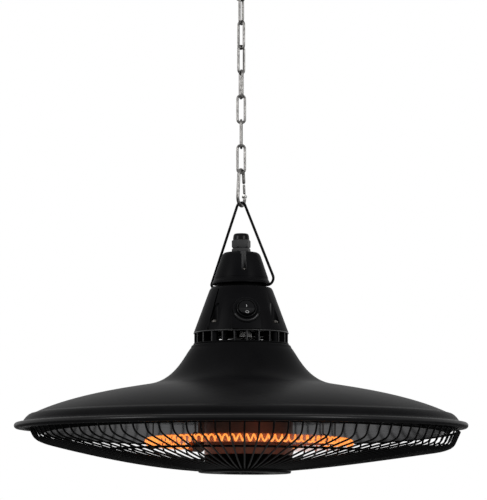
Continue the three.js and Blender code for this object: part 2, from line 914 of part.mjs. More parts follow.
// The rocker's face is two flats that meet at its pivot; at rest its upper half is pressed in
function rocker() {
  const drum = cylinder(rockerRadius, -rockerDepth, rockerDepth + rockerProud, roundSides);
  const slope = Math.tan(rockerAngle * degrees);
  const rise = rockerRadius * slope;
  const side = plateOf([
    [-rockerRadius, -rockerDepth * half],
    [rockerRadius, -rockerDepth * half],
    [rockerRadius, rockerProud + rise],
    [0, rockerProud],
    [-rockerRadius, rockerProud + rise],
  ], 2 * rockerRadius).rotate([0, 0, quarterTurn]);
  return drum.intersect(side).rotate([-rockerAngle, 0, 0]).translate([0, 0, rockerPivot]);
}

place(lamp, "switch_body", atSwitch(switchBody()), blackPlastic);
place(lamp, "switch_bezel", atSwitch(switchBezel()), glossPlastic);
place(lamp, "switch_rocker", atSwitch(rocker()), glossPlastic);

// Holes for the housing screws through a flat piece between two heights
function screwHoles(low, high) {
  const hole = cylinder(coneScrewRadius + boreGap, low - cutOverrun, high + cutOverrun, boreSides);
  return ringOf(conePocketCount, (angle) => atPocket(hole, angle), pocketStart);
}

// Vent ring
function ventRing() {
  const foot = ventFootHeight;
  const top = coneFootHeight - restGap;
  const rings = [
    pipe(ventRadius, ventInner, foot, foot + ventFlange, bodySides),
    pipe(ventRadius, ventInner, top - ventFlange, top, bodySides),
  ];
  const inset = ventFlange * half;
  const rib = box(
    [-ventRibThickness * half, -ventRadius + inset, foot + inset],
    [ventRibThickness * half, -ventInner - inset, top - inset],
  );
  const ribs = ringOf(ventRibCount, (angle) => around(rib, angle));
  const post = cylinder(ventPostRadius, foot + inset, top - inset, pinSides);
  const posts = ringOf(conePocketCount, (angle) => atPocket(post, angle), pocketStart);
  return without(joined([...rings, ...ribs, ...posts]), screwHoles(foot, top));
}
place(lamp, "vent_ring", ventRing(), blackPlastic);

// Radii at the rim, each from the one outside it
const shadeRimRadius = shadeCreaseRadius + shadeHemWidth;
const hemRadius = shadeCreaseRadius - shadeWall;
const guardTopRadius = hemRadius - panRoom - guardWire * half;
const guardLean = Math.atan(guardWallLean / (guardTopHeight - guardWallFoot));
const hoopInset = ((guardWire + guardRimWire) * half + restGap) / Math.cos(guardLean);
const rimHoopRadius = guardTopRadius - hoopInset;
const hoopOuter = rimHoopRadius + guardRimWire * half + restGap;
const skirtRadius = hoopOuter - restGap;
const panEdgeRadius = skirtRadius - skirtWidth;
const panRoofRadius = panEdgeRadius - panRoofInset;
const guardConeRadius = guardTopRadius - guardConeInset;
const guardMidRadius = guardTopRadius - guardMidInset;

// Shade: one spun sheet with a rolled hem
function shade() {
  const shoulder = eased(
    [shadeTopRadius, shadeTopHeight],
    [shadeNeckRadius, shadeTopHeight - shadeShoulderDrop],
    shadeShoulderShares,
    2,
  );
  const flare = eased(
    [shadeNeckRadius, shadeTopHeight - shadeShoulderDrop],
    [shadeKinkRadius, shadeKinkHeight],
    flareHandleShares,
    flareSteps,
  );
  const dome = eased(
    [shadeKinkRadius, shadeKinkHeight],
    [shadeCreaseRadius, shadeCreaseHeight],
    domeHandleShares,
    domeSteps,
  );
  const outer = [[shadeHoleRadius, shadeTopHeight], ...shoulder, ...flare.slice(1), ...dome.slice(1)];
  const inner = beside([...outer].reverse(), shadeWall).reverse();
  inner[0] = [shadeHoleRadius, shadeTopHeight - shadeWall];
  inner[inner.length - 1][0] = hemRadius;
  const beadRadius = (shadeCreaseHeight + shadeRimDrop) * half * hemBeadShare;
  const bead = arc(
    [shadeRimRadius - beadRadius, -shadeRimDrop + beadRadius],
    beadRadius,
    hemBeadStart,
    -quarterTurn,
    hemBeadSteps,
  );
  const profile = [...outer, ...bead, [hemRadius, -shadeRimDrop], ...[...inner].reverse()];
  const sheet = turned([...profile].reverse(), rimSides);
  return without(sheet, screwHoles(shadeTopHeight - shadeWall, shadeTopHeight));
}
place(lamp, "shade", shade(), blackPaint);

// The pan: the centre rod and everything that it holds under the shade
const pan = new THREE.Group();
pan.position.set(panShiftRight, -panShiftFront, 0);
pan.rotation.set(-panFrontUp * degrees, panRightDown * degrees, 0);
lamp.add(pan);

// A hole for the leaning rod through a flat piece at a height
function rodHole(low, high) {
  const middle = (low + high) * half;
  const across = panShiftRight + middle * Math.sin(panRightDown * degrees);
  const back = middle * Math.sin(panFrontUp * degrees) - panShiftFront;
  return cylinder(rodRadius + boreGap, low - cutOverrun, high + cutOverrun, boreSides)
    .translate([across, back, 0]);
}

// Clamp plate under the shade's top, strap over it, and the rod that holds the pan
function clampPlate() {
  const disc = cylinder(clampRadius, clampFoot, clampTop, hubSides);
  return without(disc, [...screwHoles(clampFoot, clampTop), rodHole(clampFoot, clampTop)]);
}
place(lamp, "clamp_plate", clampPlate(), zincSteel);

function strap() {
  const foot = shadeTopHeight + restGap;
  const inner = strapHalfSpan - strapThickness;
  const outline = [
    [-strapHalfSpan - restGap, foot],
    [-inner + strapFoot, foot],
    [-inner + strapFoot, foot + strapThickness],
    [-inner, foot + strapThickness],
    [-inner, strapHeight - strapThickness],
    [inner, strapHeight - strapThickness],
    [inner, foot + strapThickness],
    [inner - strapFoot, foot + strapThickness],
    [inner - strapFoot, foot],
    [strapHalfSpan, foot],
    [strapHalfSpan, strapHeight],
    [-strapHalfSpan, strapHeight],
  ];
  return plateOf(outline, strapWidth).subtract(rodHole(strapHeight - strapThickness, strapHeight));
}
place(lamp, "shade_strap", strap(), zincSteel);

const guardPlateFoot = guardPlateTop - guardPlateThickness;
const rodFoot = guardPlateFoot + restGap;

function rodNut(foot) {
  return hexagon(nutFlats, foot, foot + nutHeight)
    .subtract(cylinder(rodRadius + restGap, foot - cutOverrun, foot + nutHeight + cutOverrun, pinSides));
}

place(pan, "centre_rod", cylinder(rodRadius, rodFoot, strapHeight + rodEndRise, boreSides), zincSteel);
place(pan, "rod_nut_upper", rodNut(strapHeight + restGap), brightSteel);
place(pan, "rod_nut_lower", rodNut(hubTopHeight - hubWall - restGap - nutHeight), brightSteel);
place(
  pan,
  "spacer_tube",
  pipe(spacerRadius, rodRadius + boreGap, hubTopHeight + restGap, clampFoot - restGap, boreSides),
  zincSteel,
);

// Reflector pan and skirt
const panTopRim = panEdgeHeight + panWall;

function reflector() {
  const wall = eased(
    [panEdgeRadius, panEdgeHeight],
    [panRoofRadius, panRoofHeight],
    panWallShares,
    panSteps,
  );
  const under = [...wall, [panHole, panRoofHeight]];
  const over = beside(under, -panWall);
  over[over.length - 1] = [panHole, panRoofHeight + panWall];
  const lip = [panEdgeRadius + panLip, panEdgeHeight];
  return turned([
    ...[...under].reverse(),
    lip,
    [lip[0], panTopRim],
    ...over.slice(1).map((point, i) => (i === 0 ? [panEdgeRadius, panTopRim] : over[i])),
    over[over.length - 1],
  ], rimSides);
}
place(pan, "reflector", reflector(), satinAluminium);

function skirt() {
  const inner = [panEdgeRadius, panEdgeHeight - restGap];
  const outer = [skirtRadius, skirtTopHeight];
  return turned([
    [inner[0], inner[1] - skirtWall],
    [inner[0] + panLip, inner[1] - skirtWall],
    [outer[0], outer[1] - 2 * skirtWall],
    outer,
    [outer[0] - skirtWall, outer[1]],
    [outer[0] - skirtWall, outer[1] - 2 * skirtWall + restGap],
    [inner[0] + panLip + restGap, inner[1]],
    inner,
  ], rimSides);
}
place(pan, "rim_skirt", skirt(), blackPaint);

// Hub can and hub base
function hubCan() {
  return turned([
    [rodRadius + boreGap, hubTopHeight - hubWall],
    [hubRadius - hubWall, hubTopHeight - hubWall],
    [hubRadius - hubWall, hubFootHeight],
    [hubRadius, hubFootHeight],
    [hubRadius, hubTopHeight],
    [rodRadius + boreGap, hubTopHeight],
  ], hubSides);
}
place(pan, "hub_can", hubCan(), hubSteel);

function hubBase() {
  const top = hubFootHeight - restGap;
  const foot = guardPlateTop + restGap;
  return turned([
    [rodRadius + boreGap, foot],
    [hubBaseRadius, foot],
    [hubRadius, top],
    [hubRadius - hubWall - restGap, top],
    [hubRadius - hubWall - restGap, top + hubBaseWall],
    [hubRadius - hubWall - restGap - hubBaseWall, top + hubBaseWall],
    [hubBaseRadius - hubBaseWall, foot + hubBaseWall],
    [rodRadius + boreGap, foot + hubBaseWall],
  ], hubSides);
}
place(pan, "hub_base", hubBase(), blackPaint);

// Ring element: a quartz tube bent to a C, with a wound coil in it
function onCircle(radius, turn, height) {
  const angle = (turn - quarterTurn) * degrees;
  return new THREE.Vector3(elementShift + radius * Math.cos(angle), radius * Math.sin(angle), height);
}

const tubeStep = (tubeEnd - tubeStart) / tubeSteps;
const chordRadius = elementCircle * Math.cos(tubeStep * half * degrees);
const tubeLine = Array.from({ length: tubeSteps + 1 }, (_, i) =>
  onCircle(elementCircle, tubeStart + tubeStep * i, elementHeight),
);

// A point on the tube's centre line produced straight on past one of its ends
function beyondEnd(atStart, distance) {
  const line = atStart ? tubeLine : [...tubeLine].reverse();
  const outward = line[0].clone().sub(line[1]).normalize();
  return line[0].clone().addScaledVector(outward, distance);
}

function ringTube(radius, points) {
  const settings = {
    steps: points.length - 1,
    extrudePath: new Route(points),
    bevelEnabled: false,
  };
  return solid(new THREE.ExtrudeGeometry(polygon(radius, tubeSides), settings));
}

const tubeBore = tubeRadius - tubeWall;
const boreLine = [...tubeLine];
boreLine[0] = beyondEnd(true, cutOverrun);
boreLine[tubeSteps] = beyondEnd(false, cutOverrun);
place(pan, "quartz_tube", ringTube(tubeRadius, tubeLine).subtract(ringTube(tubeBore, boreLine)), hotQuartz);

// The coil's centre line: straight lead, curls, then a lead along the tube's own centre line
function coilPoints() {
  const curlSteps = coilCurls * coilCurlSteps;
  const curls = Array.from({ length: curlSteps + 1 }, (_, i) => {
    const turn = coilStart + ((coilEnd - coilStart) * i) / curlSteps;
    const curl = (2 * Math.PI * i) / coilCurlSteps;
    const swell = Math.min(1, i / coilCurlSteps, (curlSteps - i) / coilCurlSteps);
    const reach = coilRadius * swell;
    const radius = elementCircle + reach * Math.cos(curl);
    return onCircle(radius, turn, elementHeight + reach * Math.sin(curl));
  });
  const leadStart = Math.floor((coilEnd - tubeStart) / tubeStep) + 2;
  const lead = tubeLine.slice(leadStart, tubeSteps);
  const depth = coilLeadDepth;
  return [beyondEnd(true, depth), tubeLine[0].clone(), ...curls, ...lead, beyondEnd(false, depth)];
}

// One unbroken tube round a line of points, closed at both ends
function sweptTube(points, radius, sides) {
  const positions = [];
  const indices = [];
  const route = new Route(points);
  const steps = points.length - 1;
  let normal = new THREE.Vector3(0, 0, 1);
  points.forEach((point, i) => {
    const tangent = route.getTangent(i / steps);
    normal = normal.addScaledVector(tangent, -normal.dot(tangent)).normalize();
    const side = new THREE.Vector3().crossVectors(tangent, normal);
    for (let k = 0; k < sides; k += 1) {
      const angle = (2 * Math.PI * k) / sides;
      const at = point.clone()
        .addScaledVector(normal, radius * Math.cos(angle))
        .addScaledVector(side, radius * Math.sin(angle));
      positions.push(at.x, at.y, at.z);
    }
  });
  for (let i = 0; i < steps; i += 1) {
    for (let k = 0; k < sides; k += 1) {
      const a = i * sides + k;
      const b = i * sides + ((k + 1) % sides);
      indices.push(a, b, a + sides, b, b + sides, a + sides);
    }
  }
  for (let k = 1; k < sides - 1; k += 1) {
    const end = steps * sides;
    indices.push(0, k + 1, k, end, end + k, end + k + 1);
  }
  const geometry = new THREE.BufferGeometry();
  geometry.setAttribute("position", new THREE.Float32BufferAttribute(positions, 3));
  geometry.setIndex(indices);
  return geometry;
}

// The least gap between curls that lie at least half a curl apart on the wire
function leastGap(points, radius) {
  const apart = Math.round(coilCurlSteps * half) + 1;
  let least = Infinity;
  for (let i = 0; i < points.length; i += 1) {
    for (let k = i + apart; k < Math.min(i + 3 * coilCurlSteps, points.length); k += 1) {
      least = Math.min(least, points[i].distanceTo(points[k]));
    }
  }
  return least - 2 * radius;
}

const coilLine = coilPoints();
console.log(`coil: least gap to itself ${leastGap(coilLine, coilWireRadius).toFixed(2)} mm`);
place(pan, "heating_coil", solid(sweptTube(coilLine, coilWireRadius, coilWireSides)), hotWire);

// Ceramic ends and the brackets that carry the tube under the pan's roof
const roofUnder = panRoofHeight - restGap;

// An end stands on its own axis, its mouth over the tube, and a post runs up to the pan's roof
function endCap(atStart) {
  const seat = endCapLength - endCapDepth;
  const postHigh = roofUnder - elementHeight;
  const cup = cylinder(endCapRadius, 0, endCapLength, pinSides);
  const room = cylinder(tubeRadius + boreGap, seat, endCapLength + cutOverrun, pinSides);
  const leadReach = [seat - coilLeadDepth - restGap, seat + cutOverrun];
  const leadRoom = cylinder(coilWireRadius + boreGap, ...leadReach, screwSides);
  const post = box(
    [-postHigh, -holderWidth * half, restGap],
    [-endCapRadius * half, holderWidth * half, restGap + holderThickness],
  );
  const foot = box(
    [-postHigh, -holderWidth * half, restGap],
    [-postHigh + holderThickness, holderWidth * half, holderWidth * half],
  );
  const body = without(joined([cup, post, foot]), [room, leadRoom]).translate([0, 0, -seat]);
  const end = beyondEnd(atStart, 0);
  const inward = end.clone().sub(beyondEnd(atStart, 1));
  const heading = Math.atan2(inward.y, inward.x) / degrees;
  return body.rotate([0, quarterTurn, heading]).translate([end.x, end.y, end.z]);
}
place(pan, "ceramic_end_left", endCap(true), ceramic);
place(pan, "ceramic_end_right", endCap(false), ceramic);

// A bracket sits on the middle of the nearest straight run of the tube's line
function tubeBracket(turn) {
  const clear = (tubeRadius + restGap) / Math.cos(Math.PI / bracketSides);
  const outer = clear + bracketThickness;
  const postHigh = roofUnder - elementHeight;
  const loop = pipe(outer, clear, -bracketWidth * half, bracketWidth * half, bracketSides)
    .rotate([quarterTurn, 0, quarterTurn]);
  const post = box(
    [-bracketWidth * half, -bracketThickness * half, outer - bracketThickness * half],
    [bracketWidth * half, bracketThickness * half, postHigh],
  );
  const foot = box(
    [-bracketWidth * half, -bracketWidth, postHigh - bracketThickness],
    [bracketWidth * half, bracketThickness * half, postHigh],
  );
  const run = Math.floor((turn - tubeStart) / tubeStep) + half;
  const middle = tubeStart + run * tubeStep;
  const at = onCircle(chordRadius, middle, elementHeight);
  return joined([loop, post, foot]).rotate([0, 0, middle]).translate([at.x, at.y, at.z]);
}
bracketTurns.forEach((turn, i) => {
  place(pan, `tube_bracket_${i + 1}`, tubeBracket(turn), zincSteel);
});

// Wire guard: wires welded to the centre plate, with two hoops
const guardWeldHeight = guardPlateTop - guardWire;
const guardSlope = (guardConeHeight - guardWeldHeight) / (guardConeRadius - guardPlateRadius);

function guardWireBody() {
  const route = [
    [guardTopRadius, guardTopHeight],
    [guardTopRadius - guardWallLean, guardWallFoot],
    [guardConeRadius, guardConeHeight],
    [guardPlateRadius - guardPlateOverlap, guardWeldHeight],
  ];
  return wire(route, guardWire, 3);
}

function guardCage() {
  const plate = turned([
    [0, guardPlateFoot + guardPlateDish],
    [guardPlateRadius * half, guardPlateFoot + guardPlateDish],
    [guardPlateRadius * half + guardPlateDish, guardPlateFoot],
    [guardPlateRadius - guardPlateRound, guardPlateFoot],
    [guardPlateRadius, guardPlateFoot + guardPlateRound],
    [guardPlateRadius, guardPlateTop - restGap],
    [guardPlateRadius - restGap, guardPlateTop],
    [0, guardPlateTop],
  ], hubSides);
  const single = guardWireBody();
  const wires = ringOf(guardWireCount, (angle) => around(single, angle));
  const reach = [guardPlateFoot - cutOverrun, guardPlateTop + cutOverrun];
  return joined([plate, ...wires]).subtract(cylinder(rodRadius + boreGap, ...reach, pinSides));
}
place(pan, "guard_cage", guardCage(), blackWire);

function hoop(radius, height, diameter, sides) {
  const start = quarterTurn * half;
  const section = arc([radius, height], diameter * half, start, start + fullTurn, hoopSectionSides);
  return turned(section.slice(0, -1), sides);
}

const midWireHeight = guardWeldHeight + (guardMidRadius - guardPlateRadius) * guardSlope;
const midHoopHeight = midWireHeight + (guardWire + guardMidWire) * half + restGap;
const rimHoopHeight = guardTopHeight;
place(pan, "guard_rim_hoop", hoop(rimHoopRadius, rimHoopHeight, guardRimWire, rimSides), blackWire);
place(pan, "guard_middle_hoop", hoop(guardMidRadius, midHoopHeight, guardMidWire, rimSides), blackWire);

// The nut sits in the plate's dish, clear of the plate's foot
const guardNutTop = guardPlateFoot + guardPlateDish - restGap;
const guardNut = hexagon(nutFlats, guardNutTop - guardNutHeight, guardNutTop)
  .subtract(cylinder(rodRadius + restGap, rodFoot - cutOverrun, guardNutTop + cutOverrun, boreSides));
place(pan, "guard_nut", guardNut, zincSteel);

// Spring clips that hold the rim hoop to the skirt
function guardClip() {
  const hoopFoot = rimHoopHeight - guardRimWire * half - restGap;
  const low = hoopFoot - clipThickness;
  const skirtTop = skirtTopHeight + restGap;
  const high = skirtTop + clipThickness;
  const outline = [
    [hoopOuter - clipReach, low],
    [hoopOuter + clipThickness, low],
    [hoopOuter + clipThickness, high],
    [hoopOuter - 2 * clipReach, high],
    [hoopOuter - 2 * clipReach, skirtTop],
    [hoopOuter, skirtTop],
    [hoopOuter, hoopFoot],
    [hoopOuter - clipReach, hoopFoot],
  ];
  return plateOf(outline, clipWidth);
}
const clipStart = (fullTurn / rimSides) * Math.round(rimSides / clipCount * half);
ringOf(clipCount, (angle, i) => {
  place(pan, `guard_clip_${i + 1}`, around(guardClip(), angle), zincSteel);
}, clipStart);

export default heater;
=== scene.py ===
import logging
import math
from collections.abc import Callable, Iterable, Sequence
from dataclasses import dataclass, field
from enum import Enum
from functools import cached_property

import bmesh
import bpy
from mathutils import Matrix, Vector

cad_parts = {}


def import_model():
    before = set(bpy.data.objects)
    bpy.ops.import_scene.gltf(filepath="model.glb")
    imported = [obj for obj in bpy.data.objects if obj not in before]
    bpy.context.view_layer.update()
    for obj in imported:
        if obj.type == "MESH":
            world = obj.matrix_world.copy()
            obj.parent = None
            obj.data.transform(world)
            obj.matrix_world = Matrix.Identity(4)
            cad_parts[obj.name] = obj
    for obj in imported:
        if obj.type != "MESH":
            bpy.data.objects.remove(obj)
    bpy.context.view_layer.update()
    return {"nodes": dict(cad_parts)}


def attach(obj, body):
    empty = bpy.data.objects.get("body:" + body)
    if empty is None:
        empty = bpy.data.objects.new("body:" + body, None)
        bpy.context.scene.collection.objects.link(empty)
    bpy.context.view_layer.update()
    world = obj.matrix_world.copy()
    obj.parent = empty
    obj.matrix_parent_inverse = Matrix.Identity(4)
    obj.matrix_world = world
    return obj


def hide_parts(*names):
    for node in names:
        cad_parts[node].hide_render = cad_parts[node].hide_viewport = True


# The looks of a hanging patio heater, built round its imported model. Sizes are in millimetres
# until a piece is finished, and heights on the lamp are measured from the plane of its rim.
# LAMP_DROP is that plane's height under the ceiling. The screws through the housing, the vent
# ring and the shade stand on SCREW_CIRCLE. SCREW_HOLE is the radius of their holes and of the
# holes in the ceiling plate. PAN_OFFSET is how far the pan hangs off the shade's axis.

log = logging.getLogger("heater")

MM = 0.001
LAMP_DROP = -541.9
FULL_TURN = 2 * math.pi
MERGE = 0.002

PAN_OFFSET = (4.6, -0.6, 0)
SCREW_CIRCLE = 50.5
SCREW_HOLE = 2.35

Solid = bmesh.types.BMesh
Nodes = dict[str, bpy.types.Object]
Point = tuple[float, float]
Triple = tuple[float, float, float]
Profile = list[Point]
Colour = Triple


class Joining(Enum):
    """How one solid meets another."""

    ADD = "UNION"
    CUT = "DIFFERENCE"
    KEEP = "INTERSECT"


class Body(Enum):
    """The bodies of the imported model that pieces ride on."""

    CEILING = "ceiling"
    HOOK = "hook"
    GATE = "gate"
    HANGER = "hanger"
    LAMP = "lamp"
    ROCKER = "rocker"


# Lines and curves


def arc(centre: Point, radius: float, start: float, end: float, steps: int) -> Profile:
    """Points on an arc.

    Args:
        centre: The arc's centre.
        radius: Its radius.
        start: Where it starts, in degrees.
        end: Where it ends, in degrees.
        steps: How many chords it has.

    Returns:
        The points, both ends among them.
    """
    angles = [math.radians(start + (end - start) * i / steps) for i in range(steps + 1)]
    return [(centre[0] + radius * math.cos(a), centre[1] + radius * math.sin(a)) for a in angles]


def bezier(points: Sequence[Point], steps: int) -> Profile:
    """A cubic curve through its first and last of four points.

    Args:
        points: The start, two handles and the end.
        steps: How many chords it has.

    Returns:
        The points of the curve.
    """
    a, b, c, d = (Vector(p) for p in points)
    made = []
    for i in range(steps + 1):
        t = i / steps
        s = 1 - t
        at = a * s**3 + b * 3 * s * s * t + c * 3 * s * t * t + d * t**3
        made.append((at.x, at.y))
    return made


def eased(start: Point, end: Point, shares: Sequence[float], steps: int) -> Profile:
    """A curve whose handles are shares of the step between its ends.

    Args:
        start: The first point.
        end: The last point.
        shares: The first handle's share across and up, then the second's.
        steps: How many chords it has.

    Returns:
        The points of the curve.
    """
    across, up = end[0] - start[0], end[1] - start[1]
    first = (start[0] + across * shares[0], start[1] + up * shares[1])
    second = (start[0] + across * shares[2], start[1] + up * shares[3])
    return bezier((start, first, second, end), steps)


def beside(points: Profile, distance: float) -> Profile:
    """The same line moved sideways to its left.

    Args:
        points: The line.
        distance: How far it moves.

    Returns:
        The moved line.
    """
    moved = []
    for i, point in enumerate(points):
        before, after = points[max(i - 1, 0)], points[min(i + 1, len(points) - 1)]
        run = (after[0] - before[0], after[1] - before[1])
        length = math.hypot(*run)
        moved.append((point[0] - run[1] * distance / length, point[1] + run[0] * distance / length))
    return moved


def upright(points: Profile) -> list[Vector]:
    """The line's points in the XZ plane."""
    return [Vector((x, 0, z)) for x, z in points]


def round_corner(points: Profile, radius: float, steps: int = 3) -> Profile:
    """Rounds every inner corner of an open line.

    Args:
        points: The line.
        radius: How far back from a corner its rounding starts.
        steps: Chords in each rounding.

    Returns:
        The rounded line.
    """
    made = [points[0]]
    for before, corner, after in zip(points, points[1:], points[2:]):
        here = Vector(corner)
        back, on = Vector(before) - here, Vector(after) - here
        reach = min(radius, back.length * 0.45, on.length * 0.45)
        start, end = here + back.normalized() * reach, here + on.normalized() * reach
        for i in range(steps + 1):
            t = i / steps
            at = start * (1 - t) ** 2 + here * 2 * t * (1 - t) + end * t * t
            made.append((at.x, at.y))
    made.append(points[-1])
    return made


# Meshes by operators


def settled(name: str, bm: Solid) -> bpy.types.Mesh:
    """Writes a worked mesh into a named one and frees it.

    Args:
        name: The new mesh's name.
        bm: The worked mesh.

    Returns:
        The named mesh.
    """
    mesh = bpy.data.meshes.new(name)
    bm.to_mesh(mesh)
    bm.free()
    return mesh


def placed(name: str, data: bpy.types.ID) -> bpy.types.Object:
    """Puts an object into the scene.

    Args:
        name: The object's name.
        data: Its mesh, camera or light.

    Returns:
        The object.
    """
    made = bpy.data.objects.new(name, data)
    bpy.context.scene.collection.objects.link(made)
    return made


def tidied(bm: Solid) -> Solid:
    """Merges a mesh's doubles and points its faces outwards.

    Args:
        bm: The mesh.

    Returns:
        The same mesh.
    """
    bmesh.ops.remove_doubles(bm, verts=bm.verts, dist=MERGE)
    bmesh.ops.dissolve_degenerate(bm, dist=MERGE, edges=bm.edges)
    bmesh.ops.recalc_face_normals(bm, faces=bm.faces)
    return bm


def spun(profile: Profile, steps: int = 96, closed: bool = True) -> Solid:
    """Spins a profile of radius and height about the Z axis.

    Args:
        profile: The profile's corners.
        steps: Steps in the full turn.
        closed: True joins the last corner to the first.

    Returns:
        The closed mesh.
    """
    bm = bmesh.new()
    verts = [bm.verts.new((0, -r, z)) for r, z in profile]
    pairs = list(zip(verts, verts[1:]))
    if closed:
        pairs.append((verts[-1], verts[0]))
    edges = [bm.edges.new(pair) for pair in pairs]
    bmesh.ops.spin(
        bm, geom=verts + edges, cent=(0, 0, 0), axis=(0, 0, 1), dvec=(0, 0, 0), angle=FULL_TURN,
        steps=steps, use_merge=True, use_normal_flip=False, use_duplicate=False,
    )
    return tidied(bm)


def drum(radius: float, low: float, high: float, steps: int = 48) -> Solid:
    """An upright cylinder.

    Args:
        radius: Its radius.
        low: The height of its foot.
        high: The height of its top.
        steps: Its sides.

    Returns:
        The closed mesh.
    """
    bm = bmesh.new()
    bmesh.ops.create_cone(
        bm, cap_ends=True, segments=steps, radius1=radius, radius2=radius, depth=high - low,
        matrix=Matrix.Translation((0, 0, (high + low) / 2)),
    )
    return bm


def block(low: Sequence[float], high: Sequence[float]) -> Solid:
    """A box between two corners.

    Args:
        low: Its lowest corner.
        high: Its highest corner.

    Returns:
        The closed mesh.
    """
    bm = bmesh.new()
    size = [b - a for a, b in zip(low, high)]
    middle = [(a + b) / 2 for a, b in zip(low, high)]
    place = Matrix.Translation(middle) @ Matrix.Diagonal((*size, 1))
    bmesh.ops.create_cube(bm, size=1, matrix=place)
    return bm


def frames_along(route: Sequence[Vector], closed: bool) -> list[Matrix]:
    """Places along a route, each turned no more than the bend before it asks.

    Args:
        route: The route's points.
        closed: True if the last point leads back to the first.

    Returns:
        One matrix a point, whose Z axis runs along the route.
    """
    count = len(route)
    places = []
    side = None
    for i, at in enumerate(route):
        before = route[(i - 1) % count] if closed or i else at
        after = route[(i + 1) % count] if closed or i < count - 1 else at
        arriving, leaving = at - before, after - at
        along = (arriving.normalized() + leaving.normalized()).normalized()
        if side is None:
            side = along.orthogonal()
        side = (side - along * side.dot(along)).normalized()
        turn = Matrix((side, along.cross(side), along)).transposed()
        places.append(Matrix.Translation(at) @ turn.to_4x4())
    return places


def swept(
    route: Sequence[Vector], radius: float, sides: int = 12, closed: bool = False,
    swells: Sequence[float] | None = None,
) -> Solid:
    """Extrudes a circle along a route.

    Args:
        route: The route's points.
        radius: The circle's radius.
        sides: Its sides.
        closed: True joins the end to the start.
        swells: A share of the radius at each point, or None.

    Returns:
        The closed mesh.
    """
    places = frames_along(route, closed)
    if swells:
        places = [p @ Matrix.Diagonal((s, s, 1, 1)) for p, s in zip(places, swells)]
    bm = bmesh.new()
    ring = bmesh.ops.create_circle(
        bm, cap_ends=False, radius=radius, segments=sides, matrix=places[0],
    )
    first = list(dict.fromkeys(edge for vert in ring["verts"] for edge in vert.link_edges))
    last = first
    for place, following in zip(places, places[1:]):
        made = bmesh.ops.extrude_edge_only(bm, edges=last)["geom"]
        moving = [item for item in made if isinstance(item, bmesh.types.BMVert)]
        bmesh.ops.transform(bm, matrix=following @ place.inverted(), verts=moving)
        fresh = set(moving)
        last = [e for e in made if isinstance(e, bmesh.types.BMEdge) and fresh.issuperset(e.verts)]
    if closed:
        bmesh.ops.bridge_loops(bm, edges=first + last)
    else:
        bmesh.ops.contextual_create(bm, geom=first)
        bmesh.ops.contextual_create(bm, geom=last)
    bmesh.ops.recalc_face_normals(bm, faces=bm.faces)
    return bm


def rounded_end(
    route: Sequence[Vector], radius: float, steps: int = 4,
) -> tuple[list[Vector], list[float]]:
    """Lets a wire's two ends close in to a small round nose.

    Args:
        route: The wire's route.
        radius: The wire's radius.
        steps: Rings in each nose.

    Returns:
        The route with the noses' rings, and each ring's share of the radius.
    """
    out_start = (route[0] - route[1]).normalized()
    out_end = (route[-1] - route[-2]).normalized()
    inner_start, inner_end = route[0] - out_start * radius, route[-1] - out_end * radius
    reach = radius * 1.05
    kept = [p for p in route if (p - route[0]).length > reach and (p - route[-1]).length > reach]
    angles = [math.pi / 2 * i / steps for i in range(1, steps)]
    start = [route[0] + out_start * (radius * (math.sin(a) - 1)) for a in reversed(angles)]
    end = [route[-1] + out_end * (radius * (math.sin(a) - 1)) for a in angles]
    shares = [math.cos(a) for a in angles]
    line = [*start, inner_start, *kept, inner_end, *end]
    return line, [*reversed(shares), *[1.0] * (len(kept) + 2), *shares]


def moved(bm: Solid, matrix: Matrix) -> Solid:
    """Moves or turns a whole mesh by a matrix."""
    bmesh.ops.transform(bm, matrix=matrix, verts=bm.verts)
    return bm


def turned(bm: Solid, degrees: float, axis: str = "Z") -> Solid:
    """Turns a whole mesh about an axis through the origin."""
    return moved(bm, Matrix.Rotation(math.radians(degrees), 4, axis))


def shifted(bm: Solid, x: float = 0, y: float = 0, z: float = 0) -> Solid:
    """Shifts a whole mesh."""
    return moved(bm, Matrix.Translation((x, y, z)))


def repeated(bm: Solid, count: int) -> Solid:
    """Repeats a whole mesh evenly round the Z axis.

    Args:
        bm: The mesh.
        count: How many there are at the end.

    Returns:
        The same mesh with its copies.
    """
    share = FULL_TURN * (count - 1) / count
    bmesh.ops.spin(
        bm, geom=list(bm.verts) + list(bm.edges) + list(bm.faces), cent=(0, 0, 0), axis=(0, 0, 1),
        dvec=(0, 0, 0), angle=share, steps=count - 1, use_merge=False, use_normal_flip=False,
        use_duplicate=True,
    )
    return bm


def drums(
    radius: float, low: float, high: float, circle: float, count: int = 4, first: float = 45,
    steps: int = 24,
) -> Solid:
    """Upright cylinders that stand evenly on a circle.

    Args:
        radius: Each one's radius.
        low: The height of their feet.
        high: The height of their tops.
        circle: The circle's radius.
        count: How many there are.
        first: The first one's turn from the front, in degrees.
        steps: Each one's sides.

    Returns:
        One mesh of them all.
    """
    one = shifted(drum(radius, low, high, steps), y=-circle)
    return repeated(turned(one, first), count)


def gathered(meshes: Iterable[Solid]) -> Solid:
    """Puts several meshes into one without joining their walls.

    Args:
        meshes: The meshes.

    Returns:
        One mesh of them all.
    """
    whole = bmesh.new()
    for bm in meshes:
        kept = settled("kept", bm)
        whole.from_mesh(kept)
        bpy.data.meshes.remove(kept)
    return whole


